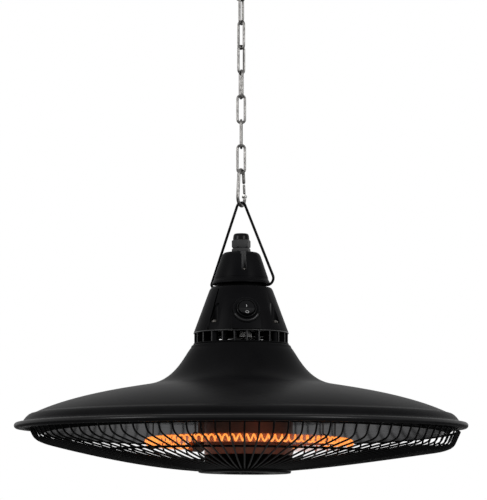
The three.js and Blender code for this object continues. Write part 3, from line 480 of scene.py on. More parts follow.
def joined(base: Solid, tool: Solid, how: Joining) -> Solid:
    """Adds a solid to another, cuts it away, or keeps what they share.

    Args:
        base: The first solid.
        tool: The second solid.
        how: How they meet.

    Returns:
        The new solid.
    """
    blanks = [placed("blank", settled("blank", bm)) for bm in (base, tool)]
    modifier = blanks[0].modifiers.new("joint", "BOOLEAN")
    modifier.operation = how.value
    modifier.solver = "EXACT"
    modifier.use_self = how is not Joining.KEEP
    modifier.object = blanks[1]
    shaped = blanks[0].evaluated_get(bpy.context.evaluated_depsgraph_get())
    made = bmesh.new()
    made.from_mesh(shaped.to_mesh())
    shaped.to_mesh_clear()
    for blank in blanks:
        mesh = blank.data
        bpy.data.objects.remove(blank)
        bpy.data.meshes.remove(mesh)
    bmesh.ops.remove_doubles(made, verts=made.verts, dist=MERGE)
    bmesh.ops.dissolve_degenerate(made, dist=MERGE, edges=made.edges)
    return made


def softened(bm: Solid, width: float, above: float = 28, segments: int = 2) -> Solid:
    """Bevels a mesh's sharp edges.

    Args:
        bm: The mesh.
        width: The bevel's width.
        above: The angle between faces, in degrees, from which an edge is sharp.
        segments: Steps across a bevel.

    Returns:
        The same mesh with its edges softened.
    """
    limit = math.radians(above)
    sharp = [e for e in bm.edges if e.is_manifold and e.calc_face_angle(0) > limit]
    bmesh.ops.bevel(
        bm, geom=sharp, offset=width, offset_type="OFFSET", affect="EDGES", segments=segments,
        profile=0.5, clamp_overlap=False, material=-1,
    )
    bmesh.ops.remove_doubles(bm, verts=bm.verts, dist=MERGE)
    return bm


# Materials


class Value:
    """One socket of a shader; arithmetic on it adds Math nodes."""

    def __init__(self, shading: "Shading", socket: bpy.types.NodeSocket) -> None:
        """Keeps the socket and the shading that it belongs to."""
        self.shading = shading
        self.socket = socket

    def _math(self, operation: str, *values: "Value | float") -> "Value":
        """Adds one Math node."""
        return self.shading.node(
            "ShaderNodeMath", {"operation": operation}, dict(enumerate(values)),
        )

    def __add__(self, other: "Value | float") -> "Value":
        """self + other"""
        return self._math("ADD", self, other)

    __radd__ = __add__

    def __sub__(self, other: "Value | float") -> "Value":
        """self - other"""
        return self._math("SUBTRACT", self, other)

    def __rsub__(self, other: float) -> "Value":
        """other - self"""
        return self._math("SUBTRACT", other, self)

    def __mul__(self, other: "Value | float") -> "Value":
        """self * other"""
        return self._math("MULTIPLY", self, other)

    __rmul__ = __mul__

    def __truediv__(self, other: "Value | float") -> "Value":
        """self / other"""
        return self._math("DIVIDE", self, other)

    def __rtruediv__(self, other: float) -> "Value":
        """other / self"""
        return self._math("DIVIDE", other, self)

    def __lt__(self, other: "Value | float") -> "Value":
        """1 where self is below other"""
        return self._math("LESS_THAN", self, other)

    def greater(self, other: "Value | float") -> "Value":
        """The greater of two values"""
        return self._math("MAXIMUM", self, other)

    def size(self) -> "Value":
        """The value without its sign"""
        return self._math("ABSOLUTE", self)

    def root(self) -> "Value":
        """The square root"""
        return self._math("SQRT", self)

    def clamped(self) -> "Value":
        """The value held between 0 and 1"""
        return self.shading.node("ShaderNodeClamp", {}, {0: self})

    def fitted(self, low: float, high: float) -> "Value":
        """0 at low and 1 at high, held between them"""
        return ((self - low) * (1 / (high - low))).clamped()

    def beside(self, output: int | str) -> "Value":
        """Another output of the same node"""
        return Value(self.shading, self.socket.node.outputs[output])


class Shading:
    """The nodes of a material or of the world."""

    def __init__(self, owner: bpy.types.Material | bpy.types.World) -> None:
        """Empties the owner's nodes but for its output.

        Args:
            owner: The material or the world.
        """
        kind = "World" if isinstance(owner, bpy.types.World) else "Material"
        owner.use_nodes = True
        self.owner = owner
        self.tree = owner.node_tree
        self.tree.nodes.clear()
        self.output = self.tree.nodes.new(f"ShaderNodeOutput{kind}")

    def node(self, kind: str, settings: dict, inputs: dict, output: int | str = 0) -> Value:
        """Adds any node.

        Args:
            kind: The node's type.
            settings: Its own settings, which are set first.
            inputs: Values or links of its sockets; a colour is given without its alpha.
            output: Which output to return.

        Returns:
            The output's value.
        """
        made = self.tree.nodes.new(kind)
        for name, value in settings.items():
            setattr(made, name, value)
        for name, value in inputs.items():
            socket = made.inputs[name]
            if isinstance(value, Value):
                self.tree.links.new(value.socket, socket)
            else:
                socket.default_value = (*value, 1) if socket.type == "RGBA" else value
        return Value(self, made.outputs[output])

    @cached_property
    def place(self) -> Value:
        """A point's place on its piece."""
        return self.node("ShaderNodeTexCoord", {}, {}, "Object")

    def noise(
        self, scale: float, detail: float = 3, stretch: Triple = (1, 1, 1),
        place: Value | None = None,
    ) -> Value:
        """Soft noise from 0 to 1.

        Args:
            scale: Its scale, in one over metres.
            detail: Its octaves.
            stretch: The scale along each axis.
            place: Where it is read, or None for the piece's own place.

        Returns:
            The noise.
        """
        scales = tuple(share * scale for share in stretch)
        at = self.node("ShaderNodeMapping", {}, {"Vector": place or self.place, "Scale": scales})
        inputs = {"Vector": at, "Scale": 1.0, "Detail": detail, "Roughness": 0.55}
        return self.node("ShaderNodeTexNoise", {}, inputs)

    def axes(self) -> tuple[Value, Value, Value]:
        """The three parts of the piece's place."""
        x = self.node("ShaderNodeSeparateXYZ", {}, {0: self.place})
        return x, x.beside(1), x.beside(2)

    def blend(self, share: Value, first: Colour | Value, second: Colour | Value) -> Value:
        """Mixes two colours.

        Args:
            share: The second colour's share.
            first: The first colour.
            second: The second colour.

        Returns:
            The mixed colour.
        """
        inputs = {"Factor": share, 6: first, 7: second}
        return self.node("ShaderNodeMix", {"data_type": "RGBA"}, inputs, 2)

    def bump(self, height: Value, depth: float, strength: float = 1.0) -> Value:
        """A normal from a height.

        Args:
            height: The height, from 0 to 1.
            depth: How deep 1 is, in metres.
            strength: The bump's strength.

        Returns:
            The normal.
        """
        inputs = {"Strength": strength, "Distance": depth, "Height": height}
        return self.node("ShaderNodeBump", {}, inputs)

    def surface(
        self, inputs: dict, kind: str = "ShaderNodeBsdfPrincipled",
    ) -> bpy.types.Material | bpy.types.World:
        """Ends the nodes with a shader.

        Args:
            inputs: Values or links of the shader's sockets.
            kind: The shader's type.

        Returns:
            The material or the world.
        """
        shader = self.node(kind, {}, inputs)
        self.tree.links.new(shader.socket, self.output.inputs[0])
        return self.owner


@dataclass(frozen=True)
class Finish:
    """A finish: its name, its record slot, and what is the same all over it."""

    name: str
    slot: str
    colour: Colour
    roughness: float
    metallic: float = 0.0
    specular: float = 0.5

    def shaded(self) -> bpy.types.Material:
        """Makes the material; each finish adds its own texture.

        Returns:
            The material.
        """
        shading = Shading(bpy.data.materials.new(self.name))
        inputs = {
            "Base Color": self.colour, "Roughness": self.roughness, "Metallic": self.metallic,
            "Specular IOR Level": self.specular,
        }
        return shading.surface(inputs | self.texture(shading))

    def tone(self, share: float, lift: float = 0.0) -> Colour:
        """The finish's colour times a share, then lifted towards white."""
        return tuple(min(1.0, part * share + lift) for part in self.colour)

    def uneven(self, noise: Value, spread: float, drop: float) -> Value:
        """The finish's roughness less a drop, plus a spread of noise."""
        return noise * spread + (self.roughness - drop)

    def texture(self, shading: Shading) -> dict:
        """What varies over the surface.

        Args:
            shading: The material being made.

        Returns:
            Links of the shader's sockets.
        """
        raise NotImplementedError


@dataclass(frozen=True)
class PowderCoat(Finish):
    """Baked powder paint: a faint orange peel, and dust-grey lifts in its black."""

    peel_scale: float = 420.0
    peel_depth: float = 0.00004

    def texture(self, shading: Shading) -> dict:
        """Peel, uneven gloss and slight fading.

        Args:
            shading: The material being made.

        Returns:
            Links of the shader's sockets.
        """
        cloud = shading.noise(14, 4)
        peel = shading.noise(self.peel_scale, 2)
        faded = self.tone(1.5, 0.002)
        return {
            "Base Color": shading.blend(cloud.fitted(0.35, 0.75), self.colour, faded),
            "Roughness": self.uneven(cloud, 0.1, 0.05),
            "Normal": shading.bump(peel, self.peel_depth, 0.6),
        }


@dataclass(frozen=True)
class RubbedPaint(PowderCoat):
    """Powder paint whose rolled rim is rubbed to a soft shine."""

    rim_start: float = 0.2615
    rim_end: float = 0.2635
    rim_low: float = -0.543
    rim_high: float = -0.5415
    rim_coat: float = 0.22
    rim_roughness: float = 0.28

    def texture(self, shading: Shading) -> dict:
        """The paint, and the shine from the rim's start outwards.

        Args:
            shading: The material being made.

        Returns:
            Links of the shader's sockets.
        """
        x, y, z = shading.axes()
        reach = (x * x + y * y).root().fitted(self.rim_start, self.rim_end)
        made = super().texture(shading)
        made["Coat Weight"] = reach * z.fitted(self.rim_low, self.rim_high) * self.rim_coat
        made["Coat Roughness"] = self.rim_roughness
        return made


@dataclass(frozen=True)
class MouldedPlastic(Finish):
    """Moulded plastic with a fine spark-eroded grain."""

    grain_scale: float = 1500.0
    grain_depth: float = 0.00003

    def texture(self, shading: Shading) -> dict:
        """Grain, with a slight change of gloss from place to place.

        Args:
            shading: The material being made.

        Returns:
            Links of the shader's sockets.
        """
        grain = shading.noise(self.grain_scale, 2)
        cloud = shading.noise(25, 3)
        faded = self.tone(1.35, 0.001)
        return {
            "Base Color": shading.blend(cloud.fitted(0.3, 0.8), self.colour, faded),
            "Roughness": self.uneven(cloud, 0.08, 0.04),
            "Normal": shading.bump(grain, self.grain_depth, 0.7),
        }


@dataclass(frozen=True)
class PlatedSteel(Finish):
    """Zinc-plated steel: a cool metal with small dull patches and fine scratches."""

    patch_scale: float = 260.0

    def texture(self, shading: Shading) -> dict:
        """Patches and scratches.

        Args:
            shading: The material being made.

        Returns:
            Links of the shader's sockets.
        """
        patch = shading.noise(self.patch_scale, 5)
        scratch = shading.noise(500, 2, (1, 1, 0.12))
        return {
            "Base Color": shading.blend(patch.fitted(0.42, 0.66), self.colour, self.tone(0.62)),
            "Roughness": self.uneven(patch, 0.25, 0.1),
            "Normal": shading.bump(scratch, 0.00003, 0.5),
        }


@dataclass(frozen=True)
class SpunMetal(Finish):
    """Sheet metal spun on a lathe, with rings of fine tool marks round its axis."""

    ring_scale: float = 900.0
    tint: Colour = (0.3, 0.14, 0.08)
    tint_share: float = 0.0

    def texture(self, shading: Shading) -> dict:
        """Tool marks, smudges and the tint that heat leaves.

        Args:
            shading: The material being made.

        Returns:
            Links of the shader's sockets.
        """
        x, y, z = shading.axes()
        reach = (x * x + y * y).root()
        ring_place = shading.node("ShaderNodeCombineXYZ", {}, {0: reach, 1: z, 2: 0.0})
        rings = shading.noise(self.ring_scale, 2, (1, 1, 1), ring_place)
        smudge = shading.noise(22, 4)
        base = shading.blend(rings.fitted(0.3, 0.7), self.tone(0.72), self.colour)
        heat = smudge.fitted(0.3, 0.7) * self.tint_share
        return {
            "Base Color": shading.blend(heat, base, self.tint),
            "Roughness": self.uneven(smudge, 0.18, 0.09),
            "Normal": shading.bump(rings, 0.00002, 0.5),
        }


@dataclass(frozen=True)
class Ceramic(Finish):
    """Dry fired ceramic, browned by heat."""

    def texture(self, shading: Shading) -> dict:
        """Speckle and pits.

        Args:
            shading: The material being made.

        Returns:
            Links of the shader's sockets.
        """
        speck = shading.noise(900, 3)
        return {
            "Base Color": shading.blend(speck.fitted(0.35, 0.7), self.colour, self.tone(0.6)),
            "Roughness": self.uneven(speck, 0.1, 0.05),
            "Normal": shading.bump(speck, 0.00005, 0.6),
        }


@dataclass(frozen=True)
class Glowing(Finish):
    """A part that glows: the coil with its own heat, the quartz tube with a painted glow of the
    coil's light in its glass; more in some places than others.
    """

    # The two glow colours; on the quartz tube they colour a painted glow that stands in for the
    # coil's light in the glass.
    cool: Colour = (1.0, 0.12, 0.01)
    hot: Colour = (1.0, 0.32, 0.06)
    strength: float = 1.0
    alpha: float = 1.0
    mottle_scale: float = 320.0

    def texture(self, shading: Shading) -> dict:
        """Mottled glow.

        Args:
            shading: The material being made.

        Returns:
            Links of the shader's sockets.
        """
        mottle = shading.noise(self.mottle_scale, 3)
        return {
            "Emission Color": shading.blend(mottle.fitted(0.35, 0.65), self.cool, self.hot),
            "Emission Strength": self.strength,
            "Alpha": self.alpha,
        }


@dataclass(frozen=True)
class RockerFace(Finish):
    """Glossy plastic with the two printed switch marks, a bar and a ring."""

    centre: Point = (0.0, 0.0)
    lean: float = 0.0
    bar_height: float = 3.0
    bar_half_width: float = 0.4
    bar_half_length: float = 1.5
    ring_height: float = -6.2
    ring_radius: float = 1.8
    ring_half_width: float = 0.27
    ink: Colour = (0.42, 0.42, 0.42)

    def texture(self, shading: Shading) -> dict:
        """The marks, and faint wear of the gloss.

        Args:
            shading: The material being made.

        Returns:
            Links of the shader's sockets.
        """
        x, y, z = shading.axes()
        lean = math.radians(self.lean)
        up = (y - self.centre[0] * MM) * math.sin(lean) + (z - self.centre[1] * MM) * math.cos(lean)
        across = x / MM
        along = up / MM
        rise = along - self.bar_height
        bar = (across.size() < self.bar_half_width) * (rise.size() < self.bar_half_length)
        drop = along - self.ring_height
        reach = (across * across + drop * drop).root()
        ring = (reach - self.ring_radius).size() < self.ring_half_width
        wear = shading.noise(120, 3)
        return {
            "Base Color": shading.blend((bar + ring).clamped(), self.colour, self.ink),
            "Roughness": self.uneven(wear, 0.1, 0.05),
        }


class Finishes:
    """Every finish of the heater, each made once."""

    shade_paint = RubbedPaint(
        "shade_paint", "black_paint", (0.003, 0.003, 0.0033), 0.42, specular=0.011,
    )
    # A darker copy of the black paint: painted shade on the parts that sit in shadow, namely the
    # neck ring, the skirt under the rim, the hub's base and the guard's clips. The ceiling plate
    # wears it too.
    shaded_paint = PowderCoat(
        "shaded_paint", "black_paint", (0.0012, 0.0012, 0.0013), 0.6, specular=0.006,
    )
    housing_plastic = MouldedPlastic(
        "housing_plastic", "black_plastic", (0.0028, 0.0028, 0.0032), 0.42, specular=0.02,
    )
    gland_plastic = MouldedPlastic(
        "gland_plastic", "black_plastic", (0.027, 0.027, 0.0275), 0.36, specular=0.08,
    )
    bezel_plastic = MouldedPlastic(
        "bezel_plastic", "gloss_plastic", (0.0025, 0.0025, 0.0028), 0.26, specular=0.06,
    )
    # A lighter, glossier copy of the housing plastic: painted highlights on the screw pockets'
    # inner walls, the low side of the switch boss's rolled edge, and the vent ring's rib ends and
    # upper rim.
    painted_highlight_plastic = MouldedPlastic(
        "painted_highlight_plastic", "black_plastic", (0.009, 0.009, 0.0095), 0.3, specular=0.2,
    )
    wire_coat = PowderCoat(
        "wire_coat", "black_wire", (0.002, 0.002, 0.0022), 0.42, specular=0.03, peel_scale=900,
    )
    zinc = PlatedSteel("zinc", "zinc_steel", (0.15, 0.146, 0.141), 0.3, 1.0)
    # The next two are zinc steel darkened as painted shade, for screws, brackets, nuts, rod and
    # plates that sit in shadow.
    shaded_zinc = PlatedSteel("shaded_zinc", "zinc_steel", (0.06, 0.056, 0.052), 0.4, 1.0)
    deep_shaded_zinc = PlatedSteel("deep_shaded_zinc", "zinc_steel", (0.012, 0.0115, 0.011), 0.45, 1.0)
    bright = PlatedSteel("bright", "bright_steel", (0.4, 0.4, 0.39), 0.25, 1.0)
    aluminium = SpunMetal("aluminium", "satin_aluminium", (0.22, 0.22, 0.225), 0.16, 1.0)
    hub = SpunMetal(
        "hub", "hub_steel", (0.13, 0.075, 0.06), 0.42, 1.0,
        ring_scale=700, tint=(0.2, 0.06, 0.035), tint_share=0.7,
    )
    fired = Ceramic("fired", "ceramic", (0.11, 0.06, 0.045), 0.85)
    # The quartz tube's faint emission is a painted glow: the coil's light caught in the glass.
    quartz = Glowing(
        "quartz", "hot_quartz", (0.9, 0.4, 0.2), 0.2,
        cool=(0.8, 0.08, 0.01), hot=(1.0, 0.15, 0.03), strength=0.14, alpha=0.14,
    )
    coil = Glowing(
        "coil", "hot_wire", (0.5, 0.2, 0.1), 0.5,
        cool=(1.0, 0.24, 0.03), hot=(1.0, 0.43, 0.08), strength=1.4,
    )
    seal_rubber = MouldedPlastic(
        "seal_rubber", "rubber", (0.005, 0.005, 0.005), 0.85, specular=0.2,
    )

    def __init__(self) -> None:
        """Starts with no material made."""
        self.made: dict[str, bpy.types.Material] = {}

    def get(self, finish: Finish) -> bpy.types.Material:
        """The material of a finish, made when it is first asked for.

        Args:
            finish: The finish.

        Returns:
            The finish's material.
        """
        if finish.name not in self.made:
            self.made[finish.name] = finish.shaded()
        return self.made[finish.name]


FINISHES = Finishes()


def piece(
    name: str, bm: Solid, finish: Finish, node: str, body: str = Body.LAMP.value,
    drop: float = LAMP_DROP, sharp: float = 35.0, painted_light: Finish | None = None,
    polished: Callable[[Vector], bool] | None = None,
) -> None:
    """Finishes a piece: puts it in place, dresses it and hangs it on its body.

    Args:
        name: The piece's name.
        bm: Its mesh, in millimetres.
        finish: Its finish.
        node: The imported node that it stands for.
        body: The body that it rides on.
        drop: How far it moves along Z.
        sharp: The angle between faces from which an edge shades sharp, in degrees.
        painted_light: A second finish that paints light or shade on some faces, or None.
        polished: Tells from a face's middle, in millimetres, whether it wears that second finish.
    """
    if painted_light:
        for face in bm.faces:
            face.material_index = int(polished(face.calc_center_median()))
    moved(bm, Matrix.Diagonal((MM, MM, MM, 1)) @ Matrix.Translation((0, 0, drop)))
    mesh = settled(name, bm)
    mesh.shade_smooth()
    mesh.set_sharp_from_angle(angle=math.radians(sharp))
    for each_finish in filter(None, (finish, painted_light)):
        mesh.materials.append(FINISHES.get(each_finish))
    made = placed(name, mesh)
    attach(made, body)
    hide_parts(node)
    log.info("%s: %d faces on %s", name, len(mesh.polygons), body)


def dress(nodes: Nodes, names: Sequence[str], finish: Finish) -> None:
    """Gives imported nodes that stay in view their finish.

    Args:
        nodes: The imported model's objects.
        names: The nodes to dress.
        finish: Their finish.
    """
    for name in names:
        mesh = nodes[name].data
        mesh.materials.clear()
        mesh.materials.append(FINISHES.get(finish))
        log.info("%s: dressed in %s", name, finish.name)


# Sub-assemblies


@dataclass
class Ceiling:
    """The plate on the ceiling and the open hook under it."""

    radius: float = 30.0
    thickness: float = 3.5
    edge_round: float = 1.5
    screw_spacing: float = 40.0
    hook_wire: float = 4.0
    hook_fit: float = 0.3
    hook_radius: float = 7.0
    hook_neck: float = 6.5
    hook_bend: float = 1.4
    hook_round: float = 1.2
    hook_turn: float = -33.0
    hook_sweep: float = 305.0

    def plate(self) -> Solid:
        """The round plate with its two screw holes.

        Returns:
            The closed mesh.
        """
        low = -self.thickness
        bend = self.edge_round
        edge = arc((self.radius - bend, low + bend), bend, -90, 0, 5)
        disc = spun([(0, low), *edge, (self.radius, 0), (0, 0)], closed=False)
        reach = self.screw_spacing / 2
        holes = ((-reach, SCREW_HOLE), (reach, SCREW_HOLE), (0, self.hook_wire / 2 + self.hook_fit))
        for x, radius in holes:
            hole = shifted(drum(radius, low - 1, 1, 32), x=x)
            disc = joined(disc, hole, Joining.CUT)
        return disc

    def hook(self) -> Solid:
        """The bent wire hook.

        Returns:
            The closed mesh.
        """
        centre = -self.thickness - self.hook_neck - self.hook_radius
        bowl = arc((0, centre), self.hook_radius, 90, 90 + self.hook_sweep, 48)
        stem = [(0, -self.hook_fit), (0, -3.0), (0, centre + self.hook_radius + self.hook_bend)]
        line = round_corner([*stem, *bowl[4:]], self.hook_round)
        route, swells = rounded_end(upright(line), self.hook_wire / 2)
        return turned(swept(route, self.hook_wire / 2, 16, swells=swells), self.hook_turn)

    def build(self, nodes: Nodes) -> None:
        """Builds the pieces and dresses the screws.

        Args:
            nodes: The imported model's objects.
        """
        body = Body.CEILING.value
        piece("ceiling_plate_formed", self.plate(), Finishes.shaded_paint, "ceiling_plate", body, 0)
        piece("ceiling_hook_bent", self.hook(), Finishes.zinc, "ceiling_hook", body, 0)
        dress(nodes, ["ceiling_screw_1", "ceiling_screw_2"], Finishes.zinc)


@dataclass
class Chain:
    """Welded links, each turned about the vertical by its own angle."""

    length: float = 37.0
    width: float = 12.0
    wire: float = 3.1
    pitch: float = 30.5
    first_top: float = -18.6
    turns: tuple[float, ...] = (57, -50, 34, -77, -7, 78, -7)
    weld_reach: float = 1.6
    weld_swell: float = 1.03
    weld_dip: float = 0.97
    thinning: float = 0.985

    def link(self) -> Solid:
        """One link with the faint swelling of its weld.

        Returns:
            The closed mesh.
        """
        bow = (self.width - self.wire) / 2
        straight = (self.length - self.width) / 2
        upper = arc((0, straight), bow, 180, 0, 20)
        lower = arc((0, -straight), bow, 0, -180, 20)
        weld = [(bow, self.weld_reach * share) for share in (1, 0.5, 0, -0.5, -1)]
        leg = [(-bow, -straight / 2), (-bow, 0), (-bow, straight / 2)]
        line = [*upper, *weld, *lower, *leg]
        swells = [1.0] * len(upper) + [1.0, self.weld_swell, self.weld_dip, self.weld_swell, 1.0]
        swells += [1.0] * (len(lower) + len(leg))
        radius = self.wire / 2 * self.thinning
        return swept(upright(line), radius, 14, closed=True, swells=swells)

    def build(self) -> None:
        """Builds every link."""
        for i, turn in enumerate(self.turns):
            body = f"link_{i + 1}"
            middle = self.first_top - self.length / 2 - i * self.pitch
            bm = shifted(turned(self.link(), turn), z=middle)
            piece(f"{body}_bent", bm, Finishes.zinc, f"chain_{body}", body, 0, 60)


@dataclass
class SnapHook:
    """The pear-shaped snap hook with its sprung gate."""

    foot: float = -279.2
    length: float = 48.0
    wide: float = 24.0
    narrow: float = 17.7
    wire: float = 4.0
    turn: float = 59.0
    heel_height: float = 14.3
    nose_height: float = 29.5
    heel_rise: float = 1.6
    nose_gap: float = 0.4
    thinning: float = 0.99
    slot_half: float = 1.1
    slot_drop: float = 1.9
    gate_radius: float = 1.6
    gate_thinning: float = 0.96
    bar_rise: float = 2.7
    tang_radius: float = 1.5
    tang_half: float = 0.75
    web_half: float = 1.3
    web_height: float = 3.6
    hole_radius: float = 1.2
    rivet_radius: float = 0.9
    rivet_reach: float = 2.3
    rivet_half: float = 2.79
    head_radius: float = 1.66
    head_sweep: float = 17.0

    def __post_init__(self) -> None:
        """Works out the two bows."""
        self.low_bow = (self.wide - self.wire) / 2
        self.high_bow = (self.narrow - self.wire) / 2
        self.low_centre = self.wire / 2 + self.low_bow
        self.high_centre = self.length - self.wire / 2 - self.high_bow

    def side(self, height: float) -> float:
        """How far the gate's side stands out at a height."""
        share = (height - self.low_centre) / (self.high_centre - self.low_centre)
        return self.low_bow + (self.high_bow - self.low_bow) * share

    def body(self) -> Solid:
        """The bent wire body, flattened and slotted at its heel.

        Returns:
            The closed mesh.
        """
        high = arc((0, self.high_centre), self.high_bow, 0, 180, 24)
        low = arc((0, self.low_centre), self.low_bow, 180, 360, 28)
        nose = (self.side(self.nose_height), self.nose_height)
        heel = (self.side(self.heel_height), self.heel_height + self.heel_rise)
        route, swells = rounded_end(upright([nose, *high, *low, heel]), self.wire / 2, 5)
        bm = swept(route, self.wire / 2 * self.thinning, 18, swells=swells)
        slot = block(
            (heel[0] - self.wire, -self.slot_half, self.heel_height - self.slot_drop),
            (heel[0] + self.wire, self.slot_half, self.heel_height + self.wire),
        )
        return joined(joined(bm, slot, Joining.CUT), self.rivet_hole(heel[0]), Joining.CUT)

    def rivet_hole(self, x: float) -> Solid:
        """What is drilled away for the rivet at a place along X."""
        bar = turned(drum(self.hole_radius, -self.wire, self.wire, 16), 90, "X")
        return shifted(bar, x=x, z=self.heel_height)

    def gate(self) -> Solid:
        """The gate bar with its flat tang.

        Returns:
            The closed mesh.
        """
        foot, top = self.heel_height, self.nose_height - self.nose_gap
        x_foot, x_top = self.side(foot), self.side(top)
        lean = (x_top - x_foot) / (top - foot)

        def at(height: float) -> Vector:
            """A point on the gate's axis."""
            return Vector((x_foot + lean * (height - foot), 0, height))

        low = foot + self.bar_rise
        heights = [low + (top - low) * i / 6 for i in range(7)]
        route, swells = rounded_end([at(h) for h in heights], self.gate_radius * 0.9, 4)
        bar = swept(route, self.gate_radius * self.gate_thinning, 16, swells=swells)
        half, side = self.tang_half, self.web_half
        tang = turned(drum(self.tang_radius, -half, half, 24), 90, "X")
        web = block((-side, -half, 0), (side, half, self.web_height))
        flat = shifted(joined(tang, web, Joining.ADD), x=x_foot, z=foot)
        return joined(joined(bar, flat, Joining.ADD), self.rivet_hole(x_foot), Joining.CUT)

    def rivet(self) -> Solid:
        """The rivet, with two domed heads.

        Returns:
            The closed mesh.
        """
        radius, reach = self.rivet_radius, self.rivet_reach
        dome = arc((0, reach), self.head_radius, 0, self.head_sweep, 3)
        dome = [(r, min(z, self.rivet_half - 0.01)) for r, z in dome]
        half = [(radius, 0), (radius, reach), *dome, (0, self.rivet_half)]
        profile = [*[(r, -z) for r, z in reversed(half)], *half]
        bm = turned(spun(profile, 24, closed=False), 90, "X")
        return shifted(bm, x=self.side(self.heel_height), z=self.heel_height)

    def build(self) -> None:
        """Builds the hook, its gate and its rivet."""
        for name, bm, finish, node, body in (
            ("snap_hook_bent", self.body(), Finishes.zinc, "snap_hook", Body.HOOK),
            ("snap_gate_bar", self.gate(), Finishes.zinc, "snap_gate", Body.GATE),
            ("gate_rivet_domed", self.rivet(), Finishes.bright, "gate_rivet", Body.HOOK),
        ):
            piece(name, turned(bm, self.turn), finish, node, body.value, self.foot)


@dataclass
class Bail:
    """The wire bail that the lamp hangs in."""

    wire: float = 3.2
    turn: float = -32.0
    foot: float = 167.6
    height: float = 101.0
    half_widths: Point = (39.4, 42.2)
    foot_bends: Point = (3.4, 8.0)
    top_bend: float = 5.6
    foot_inner: float = 22.0

    def route(self) -> Profile:
        """The wire's line from one foot to the other.

        Returns:
            The line's points.
        """
        apex = self.foot + self.height
        leans, feet = [], []
        for half_width, bend in zip(self.half_widths, self.foot_bends):
            knee = self.foot + bend
            lean = math.degrees(math.atan2(half_width - self.top_bend, apex - self.top_bend - knee))
            leans.append(lean)
            feet.append(arc((half_width - bend, knee), bend, lean, -90, 18))
        top = arc((0, apex - self.top_bend), self.top_bend, 180 - leans[0], leans[1], 20)
        left, right = [(-x, z) for x, z in reversed(feet[0])], feet[1]
        inner = self.foot_inner
        return [(-inner, self.foot), *left, *top, *right, (inner, self.foot)]

    def build(self) -> None:
        """Builds the bail."""
        route, swells = rounded_end(upright(self.route()), self.wire / 2)
        bm = turned(swept(route, self.wire / 2, 16, swells=swells), self.turn)
        piece("bail_bent", bm, Finishes.wire_coat, "bail", Body.HANGER.value)


@dataclass
class Gland:
    """The cable gland on top of the cap."""

    base: float = 208.1
    flats: float = 20.0
    turn: float = 3.0
    base_height: float = 5.0
    nut_height: float = 9.8
    dome_height: float = 7.6
    dome_radius: float = 9.8
    mouth_radius: float = 7.2
    bore: float = 4.1
    sleeve_radius: float = 8.2
    sleeve_height: float = 6.0
    seal_room: float = 6.9
    seal_height: float = 15.6
    gap: float = 0.3
    chamfer: float = 0.8
    dome_shares: tuple[float, ...] = (0, 0.62, 0.3, 1)
    thread_low: float = -9.0
    thread_radius: float = 7.9
    thread_depth: float = 0.7
    thread_pitch: float = 1.5
    soft: float = 0.25

    def on_dome(self, at: Vector) -> bool:
        """True for a point above the nut's flats."""
        return at.z > self.base_height + self.nut_height

    def hexagon(self, low: float, high: float) -> Solid:
        """A chamfered hexagon between two heights.

        Args:
            low: The height of its foot.
            high: The height of its top.

        Returns:
            The closed mesh.
        """
        flat = self.flats / 2
        corner = flat / math.cos(math.pi / 6)
        cut = (corner - flat) * self.chamfer
        prism = turned(drum(corner, low, high, 6), 30)
        chamfers = [(flat, low), (corner, low + cut), (corner, high - cut), (flat, high)]
        round_off = spun([(0, low), *chamfers, (0, high)], 64, closed=False)
        return joined(prism, round_off, Joining.KEEP)

    def body(self) -> Solid:
        """The lower hexagon, its thread below and sleeve above.

        Returns:
            The closed mesh.
        """
        whole = self.hexagon(0, self.base_height)
        thread = spun(self.thread_line(self.thread_low, 0.4), 40, closed=False)
        whole = joined(whole, thread, Joining.ADD)
        foot, top = self.base_height - self.gap, self.base_height + self.sleeve_height
        whole = joined(whole, drum(self.sleeve_radius, foot, top, 40), Joining.ADD)
        return joined(whole, drum(self.bore, self.thread_low - 1, top + 1, 32), Joining.CUT)

    def thread_line(self, low: float, high: float) -> Profile:
        """The profile of the threaded stub between two heights.

        Args:
            low: The height of its foot.
            high: The height of its top.

        Returns:
            The line's points.
        """
        root, pitch = self.thread_radius - self.thread_depth, self.thread_pitch
        line: Profile = [(0, low)]
        z = low
        while z < high - pitch:
            line += [(root, z), (self.thread_radius, z + pitch / 2)]
            z += pitch
        return [*line, (root, z), (root, high), (0, high)]

    def nut(self) -> Solid:
        """The upper hexagon with its dome, its sleeve room and its bore.

        Returns:
            The closed mesh.
        """
        low = self.base_height + self.gap
        high = low + self.nut_height
        top = high + self.dome_height
        start, end = (self.dome_radius, high), (self.mouth_radius, top)
        shoulder = eased(start, end, self.dome_shares, 12)
        sunk = high - self.gap
        dome = spun([(0, sunk), (self.dome_radius, sunk), *shoulder, (0, top)], 64, closed=False)
        whole = joined(self.hexagon(low, high), dome, Joining.ADD)
        wide, narrow = self.sleeve_radius + self.gap, self.seal_room
        step, neck = low + self.sleeve_height, low + self.seal_height
        room = [
            (0, low - 1), (wide, low - 1), (wide, step), (narrow, step), (narrow, neck),
            (self.bore, neck), (self.bore, top + 1), (0, top + 1),
        ]
        return joined(whole, spun(room, 40, closed=False), Joining.CUT)

    def build(self, nodes: Nodes) -> None:
        """Builds the gland's two halves and dresses what is inside.

        Args:
            nodes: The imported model's objects.
        """
        # The dome on top of the nut wears the darker bezel plastic: painted shade on the gland's
        # upward-facing top.
        for node, bm in (("gland_body", self.body()), ("gland_nut", self.nut())):
            piece(
                f"{node}_moulded", turned(softened(bm, self.soft, 25), self.turn),
                Finishes.gland_plastic, node, drop=LAMP_DROP + self.base, sharp=30,
                painted_light=Finishes.bezel_plastic, polished=self.on_dome,
            )
        dress(nodes, ["gland_lock_nut"], Finishes.gland_plastic)
        dress(nodes, ["gland_seal"], Finishes.seal_rubber)


